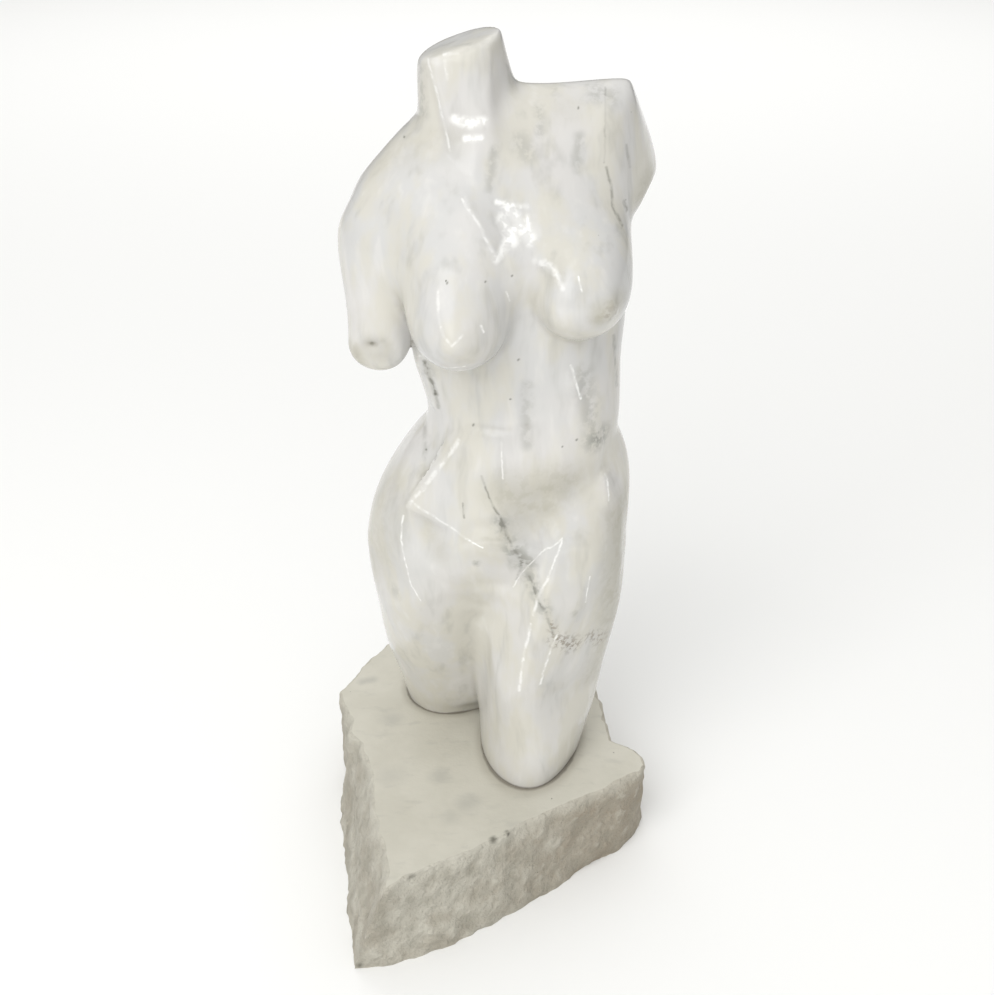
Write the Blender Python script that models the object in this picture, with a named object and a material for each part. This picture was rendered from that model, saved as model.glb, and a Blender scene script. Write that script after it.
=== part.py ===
"""Marble torso of a striding woman, carved in one block with its rough-hewn plinth.

Headless, the right arm broken off above the elbow, the raised left arm at the shoulder, and both
legs running into the plinth at mid-thigh. Metres, +Z up; the figure faces -Y, its left leg leads.
The form is a field of named masses (trunk, thighs, breasts, shoulders, neck ...) joined with
fillets, whose zero level is closed with quads; the plinth is built ring by ring. All are united
in one solid, because the real thing is one stone.
"""
import bpy
import numpy as np
from math import radians, cos, sin

# ---- driving dimensions
BASE_TOP = 0.100          # height of the plinth
EDGE = 0.0015             # worn edge round the plinth's top
LEG_END = 0.072           # how deep the thighs run on into the plinth
CUT_EDGE = 0.008          # rounding of the rims where neck and arm are cut
FIGURE_STEP = 0.0128      # facet size of the figure
ROCK_STEP = 0.016
PLINTH_STEP = 0.022
PLINTH_RINGS = 4
EDGE_STEPS = 1            # faces across the worn edge
MARBLE = (0.62, 0.60, 0.565, 1.0)

TRUNK = [  # z, centre x, centre y, half width, front, back
    (0.290, 0.000, 0.020, 0.060, 0.030, 0.060),
    (0.340, 0.002, 0.012, 0.078, 0.054, 0.072),
    (0.385, 0.006, 0.008, 0.086, 0.070, 0.074),
    (0.430, 0.012, 0.004, 0.083, 0.067, 0.064),
    (0.460, 0.021, 0.003, 0.084, 0.062, 0.056),
    (0.487, 0.023, 0.003, 0.085, 0.060, 0.051),
    (0.530, 0.018, 0.004, 0.089, 0.064, 0.056),
    (0.570, 0.016, 0.006, 0.093, 0.068, 0.062),
    (0.615, 0.011, 0.009, 0.094, 0.073, 0.064),
    (0.655, 0.005, 0.012, 0.093, 0.068, 0.062),
    (0.690, 0.000, 0.016, 0.086, 0.052, 0.052),
    (0.725, -0.008, 0.020, 0.058, 0.034, 0.036)]
LEFT_LEG = [
    (0.080, 0.0345, 0.010, 0.0490, 0.084, 0.045),
    (0.100, 0.0355, 0.010, 0.0515, 0.0885, 0.050),
    (0.155, 0.0435, 0.006, 0.0560, 0.082, 0.056),
    (0.230, 0.052, 0.000, 0.0590, 0.090, 0.066),
    (0.300, 0.058, 0.000, 0.0605, 0.094, 0.072),
    (0.345, 0.060, 0.004, 0.0595, 0.096, 0.074),
    (0.385, 0.062, 0.008, 0.0600, 0.090, 0.072),
    (0.430, 0.064, 0.008, 0.0570, 0.060, 0.060),
    (0.470, 0.066, 0.006, 0.0435, 0.044, 0.048),
    (0.500, 0.066, 0.005, 0.0300, 0.030, 0.034)]
RIGHT_LEG = [
    (0.080, -0.0405, 0.092, 0.0530, 0.0490, 0.045),
    (0.100, -0.0425, 0.086, 0.0540, 0.0500, 0.050),
    (0.149, -0.049, 0.070, 0.0550, 0.0535, 0.056),
    (0.194, -0.056, 0.055, 0.0560, 0.060, 0.062),
    (0.263, -0.060, 0.034, 0.0570, 0.070, 0.068),
    (0.330, -0.0600, 0.015, 0.0608, 0.072, 0.074),
    (0.385, -0.055, 0.010, 0.0565, 0.066, 0.070),
    (0.430, -0.048, 0.008, 0.0415, 0.050, 0.058),
    (0.465, -0.042, 0.006, 0.0255, 0.032, 0.042),
    (0.500, -0.034, 0.005, 0.0100, 0.016, 0.016)]
SHOULDER_BLADES = [((-0.047, 0.052, 0.640), 18), ((0.058, 0.050, 0.648), -18)]
BUTTOCKS = [((-0.057, 0.062, 0.335), (0.056, 0.052, 0.062)),
            ((0.060, 0.052, 0.345), (0.056, 0.052, 0.060))]
NIPPLES = [(-0.033, -0.1070, 0.584), (0.086, -0.0870, 0.604)]
SPINE = [(0.000, 0.086, 0.680), (0.016, 0.080, 0.580), (0.018, 0.066, 0.470), (0.004, 0.102, 0.370)]
HIP_BONE = (-0.080, -0.049, 0.404)      # corner of the belly above the right thigh
THIGH_TOP = (0.0565, -0.083, 0.385)     # corner at the top of the left thigh
THIGH_RIDGE = (-0.0862, -0.0449, 0.3659)    # on the ridge of the right thigh
THROAT_EDGE = (-0.0524, -0.0240, 0.7861)    # upper end of the ridge at the throat's side
RIDGES = [  # points (x, z), lift, reach to the line's left and right, length of its ends
    # right flank
    (((-0.0711, 0.5433), (-0.0512, 0.4842)), 0.0035, 0.020, 0.005, 0.012),
    # edges of the long muscles of the belly
    (((-0.0060, 0.5450), (-0.0030, 0.4900)), 0.0016, 0.014, 0.006, 0.016),
    (((0.0240, 0.5400), (0.0260, 0.4700)), -0.0022, 0.010, 0.010, 0.020),
    (((0.0600, 0.5400), (0.0700, 0.5080)), 0.0026, 0.006, 0.014, 0.012),
    (((0.0722, 0.5307), (0.0825, 0.4747)), -0.0018, 0.008, 0.008, 0.020),
    # left hip
    (((0.0930, 0.4400), (0.0980, 0.4022)), 0.0026, 0.010, 0.010, 0.012),
    # inner border of the right breast
    (((-0.0300, 0.6920), (0.0040, 0.6370)), 0.0042, 0.0070, 0.032, 0.014),
    # upper border of the left breast
    (((0.0276, 0.6378), (0.0428, 0.6360), (0.0520, 0.6240)), 0.0040, 0.006, 0.022, 0.008),
    # collar line of the right shoulder
    (((-0.1050, 0.6650), (-0.0250, 0.6960)), 0.0022, 0.012, 0.030, 0.030)]
DIPS = [  # place, radii, depth
    ((0.012, -0.064, 0.666), (0.021, 0.040, 0.026), 0.0040),      # below the collar bones
    ((-0.050, -0.055, 0.372), (0.024, 0.050, 0.020), 0.0030),
    ((0.030, -0.066, 0.405), (0.026, 0.060, 0.017), 0.0045),     # fold between belly and left thigh
    ((0.060, -0.062, 0.420), (0.024, 0.060, 0.015), 0.0045),
    ((0.088, -0.050, 0.434), (0.020, 0.050, 0.014), 0.0030),
    ((-0.012, -0.066, 0.3460), (0.042, 0.040, 0.010), 0.0016),    # under the belly, eased into the thighs
    ((-0.012, -0.057, 0.3225), (0.042, 0.040, 0.009), -0.0020),
    ((-0.016, -0.043, 0.2920), (0.022, 0.030, 0.009), -0.0014),
    ((-0.104, -0.044, 0.555), (0.006, 0.010, 0.004), 0.0040)]    # in the end of the broken arm
PLINTH_TOP = [  # corners from the front one, anticlockwise
    (-0.100, -0.208), (-0.078, -0.194), (-0.043, -0.172), (-0.010, -0.151), (0.038, -0.120),
    (0.085, -0.090), (0.128, -0.063), (0.144, -0.054), (0.1515, -0.043), (0.1495, -0.029),
    (0.141, -0.018), (0.118, -0.004), (0.105, 0.120), (0.050, 0.190), (-0.060, 0.205),
    (-0.128, 0.165), (-0.173, 0.075), (-0.153, 0.027), (-0.155, 0.009), (-0.140, -0.011),
    (-0.124, -0.064), (-0.118, -0.110), (-0.107, -0.157)]
PLINTH_FOOT = [
    (-0.134, -0.213), (-0.106, -0.209), (-0.058, -0.191), (-0.023, -0.172), (0.027, -0.136),
    (0.075, -0.095), (0.127, -0.060), (0.142, -0.042), (0.150, -0.028), (0.154, -0.012),
    (0.147, -0.002), (0.126, 0.005), (0.118, 0.130), (0.045, 0.195), (-0.065, 0.200),
    (-0.130, 0.170), (-0.171, 0.078), (-0.166, 0.038), (-0.168, 0.013), (-0.165, -0.012),
    (-0.159, -0.060), (-0.151, -0.110), (-0.142, -0.162)]


# ------------------------------------------------------------------ field tools
def spline(knots, values, t):
    """Natural cubic spline through (knots, values), held flat beyond both ends."""
    x = np.asarray(knots, float)
    y = np.asarray(values, float)
    n = len(x)
    h = np.diff(x)
    a = np.eye(n)
    r = np.zeros(n)
    for i in range(1, n-1):
        a[i, i-1:i+2] = h[i-1], 2*(h[i-1]+h[i]), h[i]
        r[i] = 6*((y[i+1]-y[i])/h[i]-(y[i]-y[i-1])/h[i-1])
    m = np.linalg.solve(a, r)
    t = np.clip(t, x[0], x[-1])
    i = np.clip(np.searchsorted(x, t)-1, 0, n-2)
    u = (t-x[i])/h[i]
    v = 1-u
    return v*y[i]+u*y[i+1]+((v**3-v)*m[i]+(u**3-u)*m[i+1])*h[i]**2/6


def union(a, b, k):
    """Join two masses, with a fillet of about k."""
    return (a+b-np.hypot(a-b, k))/2


def common(a, b, k):
    """Keep what two masses share, with the edge rounded by about k."""
    return (a+b+np.hypot(a-b, k))/2


def carve(a, b, k):
    """Take b out of a."""
    return common(a, -b, k)


def fade(t, low, high, at_low, at_high):
    """Ease from one value to another while t goes from low to high."""
    s = np.clip((t-low)/(high-low), 0, 1)
    return at_low+(at_high-at_low)*s*s*(3-2*s)


def loft(p, stations, power):
    """A mass given by its level sections: z, centre x and y, half width, front and back depth."""
    s = np.array(stations, float)
    cx, cy, half, front, back = (spline(s[:, 0], s[:, j], p[2]) for j in range(1, 6))
    u = p[0]-cx
    v = p[1]-cy
    w = 0.5+0.5*np.tanh(v/(0.35*half))
    depth = front*(1-w)+back*w
    a = np.abs(u/half)+1e-9
    b = np.abs(v/depth)+1e-9
    r = (a**power+b**power)**(1/power)
    slope = r**(1-power)*np.hypot(a**(power-1)/half, b**(power-1)/depth)
    return (r-1)/slope


def turned(p, centre, yaw, pitch, roll):
    """Coordinates about a centre, turned about z, x and y in that order."""
    x, y, z = (p[i]-centre[i] for i in range(3))
    a = radians(yaw)
    x, y = x*cos(a)+y*sin(a), -x*sin(a)+y*cos(a)
    a = radians(pitch)
    y, z = y*cos(a)+z*sin(a), -y*sin(a)+z*cos(a)
    a = radians(roll)
    z, x = z*cos(a)+x*sin(a), -z*sin(a)+x*cos(a)
    return x, y, z


def ellipsoid(p, centre, radii, yaw=0, pitch=0, roll=0):
    q = turned(p, centre, yaw, pitch, roll)
    k0 = np.sqrt(sum((q[i]/radii[i])**2 for i in range(3)))+1e-9
    k1 = np.sqrt(sum((q[i]/radii[i]**2)**2 for i in range(3)))+1e-9
    return k0*(k0-1)/k1


def limb(p, start, end, r0, r1, flat=1.0, side=None):
    """A tapered round mass along start-end; flat < 1 squeezes it across the direction side."""
    a, b = np.array(start, float), np.array(end, float)
    d = b-a
    square = d@d
    q = [p[i]-a[i] for i in range(3)]
    t = np.clip(sum(q[i]*d[i] for i in range(3))/square, 0, 1)
    e = [q[i]-t*d[i] for i in range(3)]
    if side is not None:
        s = np.array(side, float)
        s -= d*(s@d)/square
        s /= np.linalg.norm(s)
        c = sum(e[i]*s[i] for i in range(3))
        e = [e[i]+c*s[i]*(1/flat-1) for i in range(3)]
    t = t*t*(3-2*t)
    return np.sqrt(sum(c*c for c in e))-(r0+(r1-r0)*t)


def plane(p, point, normal):
    """Solid behind a flat cut; the normal points out of the stone."""
    n = np.array(normal, float)
    n /= np.linalg.norm(n)
    return sum((p[i]-point[i])*n[i] for i in range(3))


def breast(p, apex, width, depth, drop, yaw, rise, lean):
    """Full and round below its apex; above, drawn out by rise and leaning back into the chest."""
    qx, qy, qz = turned(p, apex, yaw, 0, 0)
    up = np.logaddexp(0, qz/0.010)*0.010
    down = qz-up
    qz = down+up/rise
    qy = qy-lean*up
    return ellipsoid((qx, qy, qz), (0, 0, 0), (width, depth, drop))


def crest(p, line, lift, left, right, ends):
    """A ridge on the front (lift > 0) or a groove (lift < 0) along a line of x, z points. It dies
    away over the lengths left and right of the line, as seen from the front, and at its ends."""
    nearest = np.full(p[0].shape, 9.0)
    lean = np.zeros(p[0].shape)
    along = np.zeros(p[0].shape)
    done = 0.0
    for start, end in zip(line[:-1], line[1:]):
        dx, dz = end[0]-start[0], end[1]-start[1]
        length = np.hypot(dx, dz)
        dx, dz = dx/length, dz/length
        u, v = p[0]-start[0], p[2]-start[1]
        s = np.clip(u*dx+v*dz, 0, length)
        away = np.hypot(u-s*dx, v-s*dz)+1e-9
        closer = away < nearest
        nearest = np.where(closer, away, nearest)
        lean = np.where(closer, (v*dx-u*dz)/away, lean)
        along = np.where(closer, done+s, along)
        done += length
    reach = right+(left-right)*(0.5+0.5*lean)
    shape = np.exp(-(np.hypot(nearest, 0.0012)-0.0012)/reach)
    blunt = ends+1.6*nearest
    shape = shape*fade(along, 0, blunt, 0, 1)*fade(done-along, 0, blunt, 0, 1)
    return lift*shape*(0.5-0.5*np.tanh((p[1]-0.005)/0.012))


def hollow(p, centre, radii, depth):
    """A soft dip in the surface near a point."""
    return -depth*np.exp(-sum(((p[i]-centre[i])/radii[i])**2 for i in range(3)))


# ------------------------------------------------------------------ the figure
def chest_and_back(p):
    """The trunk from the shoulders to the groin, with spine and shoulder blades."""
    trunk = loft(p, TRUNK, 2.3)
    trunk = common(trunk, plane(p, (0, 0, 0.315), (0, 0, -1)), 0.02)
    trunk = common(trunk, plane(p, (0, 0, 0.722), (0, 0, 1)), 0.02)
    for start, end in zip(SPINE[:-1], SPINE[1:]):
        trunk = carve(trunk, limb(p, start, end, 0.009, 0.009), 0.016)
    for centre, yaw in SHOULDER_BLADES:
        trunk = union(trunk, ellipsoid(p, centre, (0.032, 0.022, 0.046), yaw=yaw, pitch=8), 0.014)
    return trunk


def belly(p):
    """Two slanting faces that meet along the middle, edged by the hip bone and the groin."""
    right = plane(p, HIP_BONE, (-0.284, -0.948, 0.14))
    left = plane(p, (0.005, -0.067, 0.455), (0.233, -0.961, 0.14))
    mass = common(right, left, 0.004)
    mass = common(mass, plane(p, (0.000, -0.064, 0.478), (0.00, -0.45, 0.89)), 0.004)
    mass = common(mass, plane(p, HIP_BONE, (-0.615, -0.66, 0.43)), 0.003)
    mass = common(mass, plane(p, HIP_BONE, (-0.482, -0.43, -0.764)), 0.002)
    mass = common(mass, plane(p, (0.000, -0.0734, 0.373), (0.46, -0.60, -0.652)), 0.014)
    mass = common(mass, plane(p, (0.075, -0.050, 0.440), (0.90, -0.40, 0.10)), 0.010)
    return common(mass, plane(p, (0, -0.034, 0.42), (-0.20, 0.98, 0)), 0.002)


def left_thigh(p):
    """The leading leg, with a front and an outer face; the inner face is cut later."""
    z = p[2]
    leg = loft(p, LEFT_LEG, fade(z, 0.12, 0.20, 2.1, 2.6)-fade(z, 0.26, 0.32, 0, 0.5))
    leg = common(leg, plane(p, (0, 0, 0.480), (0, 0, 1)), 0.03)
    leg = common(leg, plane(p, (0.0780, -0.030, 0.100), (0.88, -0.475, -0.18)), 0.006)
    away = fade(z, 0.10, 0.21, 0.030, 0)
    edge = fade(z, 0.18, 0.30, 0.006, 0.002)
    leg = common(leg, plane(p, THIGH_TOP, (0.158, -0.985, -0.067))-away, edge)
    return common(leg, plane(p, (0.084, -0.0757, 0.357), (0.638, -0.740, -0.212))-away, edge+0.002)


def pubis(p):
    """The low mound between the groin and the left thigh, nearly flat in front."""
    mass = ellipsoid(p, (0.006, -0.030, 0.356), (0.052, 0.060, 0.048))
    mass = common(mass, plane(p, THIGH_TOP, (-0.108, -0.924, -0.366)), 0.004)
    return common(mass, plane(p, THIGH_TOP, (0.850, -0.500, 0.160)), 0.006)


def right_thigh(p):
    """The trailing leg, with one ridge down from the hip bone."""
    leg = common(loft(p, RIGHT_LEG, 2.1), plane(p, (0, 0, 0.475), (0, 0, 1)), 0.02)
    away = fade(p[2], 0.22, 0.32, 0.030, 0)
    leg = common(leg, plane(p, THIGH_RIDGE, (-0.118, -0.987, 0.097))-away, 0.003)
    return common(leg, plane(p, THIGH_RIDGE, (-0.750, -0.650, -0.100))-away, 0.003)


def shoulders(p, body):
    """The left arm raised and broken off at the shoulder, the right one above the elbow."""
    left = limb(p, (0.015, 0.017, 0.706), (0.150, 0.018, 0.708), 0.040, 0.0530, 0.80, (0, 1, 0))
    left = common(left, plane(p, (0.0885, -0.020, 0.720), (0.75, -0.65, 0.02)), 0.016)
    left = common(left, plane(p, (0.1085, 0.020, 0.755), (0.945, -0.26, 0.20)), CUT_EDGE)
    left = common(left, plane(p, (0.1116, 0.020, 0.735), (0.920, -0.04, 0.380)), 0.003)
    left = common(left, plane(p, (0.1135, 0.020, 0.660), (0.840, -0.21, -0.500)), 0.003)
    body = union(body, left, 0.014)
    slope = limb(p, (-0.030, 0.016, 0.702), (-0.077, 0.010, 0.655), 0.029, 0.0365)
    body = union(body, slope, 0.015)
    cap = ellipsoid(p, (-0.0865, 0.004, 0.620), (0.0320, 0.040, 0.052), roll=8)
    arm = limb(p, (-0.0945, -0.002, 0.635), (-0.1010, -0.027, 0.5505), 0.0305, 0.0235)
    arm = common(arm, plane(p, (-0.100, -0.045, 0.563), (-0.08, -0.93, -0.35)), 0.004)
    return union(body, union(arm, cap, 0.012), 0.006)


def breasts(p, body):
    z = p[2]
    soft = fade(z, 0.575, 0.640, 0.006, 0.030)
    body = union(body, breast(p, (-0.032, -0.058, 0.590), 0.0405, 0.053, 0.045, 4, 1.7, 0.45), soft)
    soft = fade(z, 0.600, 0.650, 0.006, 0.020)
    body = union(body, breast(p, (0.070, -0.050, 0.605), 0.0350, 0.048, 0.036, -24, 1.2, 0.25), soft)
    for point in NIPPLES:
        body = union(body, ellipsoid(p, point, (0.003, 0.003, 0.003)), 0.012)
    return body


def neck(p, body):
    """Flat in front, and cut off nearly level; the throat ends round above the breast bone."""
    mass = limb(p, (-0.015, 0.019, 0.690), (-0.0395, 0.000, 0.830), 0.044, 0.0318)
    mass = common(mass, plane(p, (-0.030, -0.016, 0.770), (0.20, -0.97, 0.10)), 0.010)
    body = union(body, mass, fade(p[1], -0.020, 0.005, 0.010, 0.005))
    throat = limb(p, (-0.0335, -0.005, 0.800), (-0.0215, -0.0235, 0.7205), 0.0285, 0.0180)
    throat = common(throat, plane(p, THROAT_EDGE, (0.049, -0.980, 0.170)), 0.003)
    throat = common(throat, plane(p, THROAT_EDGE, (-0.850, -0.495, -0.130)), 0.002)
    body = union(body, throat, fade(p[0], -0.040, -0.012, 0.004, 0.014))
    body = common(body, plane(p, (-0.024, 0.000, 0.7915), (-0.310, -0.06, 1.00)), CUT_EDGE)
    return common(body, plane(p, (-0.064, 0.0, 0.785), (-0.80, 0.0, 0.60)), 0.008)


def figure(p):
    """The torso, negative inside; its legs run on a little way into the plinth."""
    x, y, z = p
    trunk = chest_and_back(p)
    # the belly ends below at two slanting lines
    trunk = common(trunk, plane(p, (-0.045, -0.055, 0.384), (-0.60, 0.05, -0.78)), 0.003)
    trunk = common(trunk, plane(p, (0.055, -0.055, 0.388), (0.52, -0.10, -0.85)), 0.010)
    trunk = union(trunk, belly(p), fade(x, 0.00, 0.06, 0.003, 0.010))
    # thighs and hips, with the stone left solid between the thighs
    inner = limb(p, (0.000, -0.010, 0.345), (0.006, 0.012, 0.150), 0.040, 0.020)
    left = union(left_thigh(p), inner, 0.010)
    away = fade(z, 0.10, 0.21, 0.030, 0)
    left = common(left, plane(p, THIGH_TOP, (-0.687, -0.717, 0.118))-away, 0.002)
    left = union(left, pubis(p), fade(z, 0.310, 0.345, 0.016, 0.003))
    web = limb(p, (-0.024, -0.018, 0.350), (-0.020, 0.074, 0.090), 0.036, 0.019)
    web = common(web, plane(p, (-0.020, -0.045, 0.300), (0.84, -0.54, 0)), 0.008)
    right = union(right_thigh(p), web, 0.014)
    heel = fade(z, 0.10, 0.20, 0, 0.150)
    right = common(right, plane(p, (-0.036, 0.0385, 0.100), (0.354, -0.935, 0))-heel, 0.012)
    legs = union(left, right, fade(z, 0.10, 0.18, 0.003, 0.007)+fade(z, 0.320, 0.350, 0, 0.014))
    soft = fade(x, -0.020, 0.030, 0, 0.010)*fade(y, -0.050, -0.030, 1, 0)
    body = union(trunk, legs, 0.005+soft+fade(z, 0.335, 0.365, 0.012, 0))
    for centre, radii in BUTTOCKS:
        body = union(body, ellipsoid(p, centre, radii), 0.010)
    body = shoulders(p, body)
    body = breasts(p, body)
    body = neck(p, body)
    body = common(body, plane(p, (0, 0, LEG_END), (0, 0, -1)), 0.002)
    line = sum(crest(p, *ridge) for ridge in RIDGES)+sum(hollow(p, *dip) for dip in DIPS)
    return body-line


# ------------------------------------------------------------------ rough stone
def hash_of(i, j, k):
    """A fixed number between -1 and 1 for each whole-numbered place."""
    h = (i*73856093) ^ (j*19349663) ^ (k*83492791)
    h = ((h ^ (h >> 13))*1274126177) & 0xFFFFFFFF
    return ((h ^ (h >> 16)) & 0xFFFF)/32767.5-1


def noise(p, size, seed):
    """Smooth value noise with lumps of about the given size."""
    q = [np.asarray(c)/size+17.3*seed for c in p]
    i = [np.floor(c).astype(np.int64) for c in q]
    f = [a-b for a, b in zip(q, i)]
    w = [a*a*a*(a*(a*6-15)+10) for a in f]
    out = 0
    for dx in (0, 1):
        for dy in (0, 1):
            for dz in (0, 1):
                c = (w[0] if dx else 1-w[0])*(w[1] if dy else 1-w[1])*(w[2] if dz else 1-w[2])
                out = out+c*hash_of(i[0]+dx, i[1]+dy, i[2]+dz)
    return out


def hewn(p):
    """Depth of the point-chisel work, about 3 mm either way."""
    return 0.0030*noise(p, 0.034, 1)+0.0016*noise(p, 0.013, 2)+0.0010*noise(p, 0.006, 3)


def rock(p):
    """The lump of rough stone left behind the legs."""
    mass = limb(p, (-0.010, 0.110, 0.080), (0.040, 0.080, 0.080), 0.055, 0.045)
    mass = common(mass, plane(p, (0.025, 0.100, 0.127), (0.40, 0.30, 1)), 0.006)
    mass = common(mass, plane(p, (0, 0, 0.050), (0, 0, -1)), 0.004)
    return mass+1.5*hewn(p)


# ------------------------------------------------------------------ meshes
def surface(field, low, high, step, rounds):
    """Close a field's zero level with quads about one step long and settle them onto it."""
    axes = [np.arange(a, b+step, step) for a, b in zip(low, high)]
    value = field(np.meshgrid(*axes, indexing="ij"))
    inside = value < 0
    size = [n-1 for n in value.shape]
    corners = [(i, j, k) for i in (0, 1) for j in (0, 1) for k in (0, 1)]
    count = np.zeros(size, int)
    for i, j, k in corners:
        count += inside[i:i+size[0], j:j+size[1], k:k+size[2]]
    cells = np.argwhere((count > 0) & (count < 8))
    number = np.full(size, -1)
    number[tuple(cells.T)] = np.arange(len(cells))
    total = np.zeros((len(cells), 3))
    hits = np.zeros(len(cells))
    for a in corners:
        for axis in range(3):
            if a[axis]:
                continue
            b = list(a)
            b[axis] = 1
            va = value[tuple((cells+a).T)]
            vb = value[tuple((cells+b).T)]
            cut = (va < 0) != (vb < 0)
            t = np.where(cut, va/np.where(cut, va-vb, 1), 0)
            place = np.array(a, float)+t[:, None]*(np.array(b)-np.array(a))
            total += np.where(cut[:, None], place, 0)
            hits += cut
    points = (cells+total/hits[:, None])*step+np.array(low)
    quads = []
    for axis in range(3):
        first = np.moveaxis(inside, axis, 0)[:-1, 1:-1, 1:-1]
        second = np.moveaxis(inside, axis, 0)[1:, 1:-1, 1:-1]
        cell = np.moveaxis(number, axis, 0)
        ring = [cell[:, :-1, :-1], cell[:, 1:, :-1], cell[:, 1:, 1:], cell[:, :-1, 1:]]
        ring = np.stack(ring, -1)
        if axis == 1:
            ring = ring[..., ::-1]
        quads.append(ring[first & ~second])
        quads.append(ring[second & ~first][:, ::-1])
    quads = np.concatenate(quads)
    edges = np.concatenate([quads[:, [i, (i+1) % 4]] for i in range(4)])
    points = settle(field, points, step, 2)
    for _ in range(rounds):
        near = np.zeros_like(points)
        np.add.at(near, edges[:, 0], points[edges[:, 1]])
        np.add.at(near, edges[:, 1], points[edges[:, 0]])
        share = np.bincount(edges.ravel(), minlength=len(points))[:, None]
        points = settle(field, points*0.5+0.5*near/share, step, 1)
    return points, quads


def settle(field, points, step, rounds):
    """Move points straight onto the field's zero level."""
    e = step*0.3
    for _ in range(rounds):
        value = field(points.T)
        slope = np.zeros_like(points)
        for i in range(3):
            side = np.zeros(3)
            side[i] = e
            slope[:, i] = (field((points+side).T)-field((points-side).T))/(2*e)
        move = (value/((slope*slope).sum(1)+1e-6))[:, None]*slope
        reach = np.linalg.norm(move, axis=1, keepdims=True)
        points = points-move*np.minimum(1, step/np.maximum(reach, 1e-9))
    return points


def plinth_mesh(spacing, rings, steps):
    """The hewn block: rings of points from the foot to the top, with a worn edge in a number of
    steps, and flat caps above and below."""
    foot, top = [], []
    corners = len(PLINTH_TOP)
    for i in range(corners):
        a, b = np.array(PLINTH_TOP[i]), np.array(PLINTH_TOP[(i+1) % corners])
        c, d = np.array(PLINTH_FOOT[i]), np.array(PLINTH_FOOT[(i+1) % corners])
        parts = max(1, round(np.linalg.norm(b-a)/spacing))
        for k in range(parts):
            top.append(a+(b-a)*k/parts)
            foot.append(c+(d-c)*k/parts)
    foot, top = np.array(foot), np.array(top)
    count = len(top)
    along = np.roll(top, -1, 0)-np.roll(top, 1, 0)
    out = np.stack([along[:, 1], -along[:, 0]], 1)/np.linalg.norm(along, axis=1, keepdims=True)
    worn = np.full(count, EDGE)
    if steps > 1:
        worn = EDGE*(1.7+0.9*noise((top[:, 0], top[:, 1], np.zeros(count)), 0.011, 4))
    points = []
    for k in range(rings+1):
        s = k/rings
        z = (BASE_TOP-worn)*s
        ring = foot+(top-foot)*(z/BASE_TOP)[:, None]
        depth = hewn((ring[:, 0], ring[:, 1], z))
        ring = ring-out*depth[:, None]
        points += [(x, y, h) for (x, y), h in zip(ring, z)]
    for k in range(1, steps+1):
        turn = radians(90)*k/steps
        z = BASE_TOP-worn*(1-sin(turn))
        depth = hewn((top[:, 0], top[:, 1], z))+worn*(1-cos(turn))
        points += [(x, y, h) for (x, y), h in zip(top-out*depth[:, None], z)]
    faces = []
    for k in range(rings+steps):
        for i in range(count):
            j = (i+1) % count
            faces.append((k*count+i, k*count+j, (k+1)*count+j, (k+1)*count+i))
    faces.append(tuple(range(count))[::-1])
    faces.append(tuple(range((rings+steps)*count, (rings+steps+1)*count)))
    return points, faces


# ------------------------------------------------------------------ the object
def add_object(name, points, faces, shift, material):
    mesh = bpy.data.meshes.new(name)
    mesh.from_pydata([(x-shift[0], y-shift[1], z) for x, y, z in points], [], [list(f) for f in faces])
    mesh.update()
    mesh.materials.append(material)
    item = bpy.data.objects.new(name, mesh)
    bpy.context.scene.collection.objects.link(item)
    return item


def unite(item, other):
    """Add other to item; other itself is only a form and isn't built."""
    other.hide_render = True
    other.display_type = "WIRE"
    joined = item.modifiers.new(other.name, "BOOLEAN")
    joined.operation = "UNION"
    joined.solver = "EXACT"
    joined.object = other


def main():
    for item in list(bpy.data.objects):
        bpy.data.objects.remove(item)
    marble = bpy.data.materials.new("marble")
    marble.use_nodes = True
    shader = marble.node_tree.nodes["Principled BSDF"]
    shader.inputs["Base Color"].default_value = MARBLE
    shader.inputs["Roughness"].default_value = 0.22
    shader.inputs["Metallic"].default_value = 0.0

    points, faces = plinth_mesh(PLINTH_STEP, PLINTH_RINGS, EDGE_STEPS)
    low, high = np.min(points, 0), np.max(points, 0)
    shift = (low+high)/2          # the plinth is the widest part, so it centres the whole
    torso = add_object("torso_with_plinth", points, faces, shift, marble)

    points, faces = surface(figure, (-0.17, -0.16, 0.05), (0.17, 0.18, 0.84), FIGURE_STEP, 3)
    unite(torso, add_object("figure_form", points, faces, shift, marble))
    points, faces = surface(rock, (-0.08, 0.00, 0.02), (0.13, 0.19, 0.17), ROCK_STEP, 1)
    unite(torso, add_object("rock_form", points, faces, shift, marble))


main()
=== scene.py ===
"""Looks of the marble torso: a fine mesh of the whole stone, its finishes, floor, light and camera.

The stone is one piece. Its form is the CAD part's own, closed at a finer step: a field of named
masses for the figure, rings of points for the plinth, a field for the rough stone behind the
legs. The figure is polished, the plinth's top is honed and its sides are hewn.
"""
import bpy
import numpy as np
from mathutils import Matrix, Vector
from math import radians, cos, sin


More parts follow.
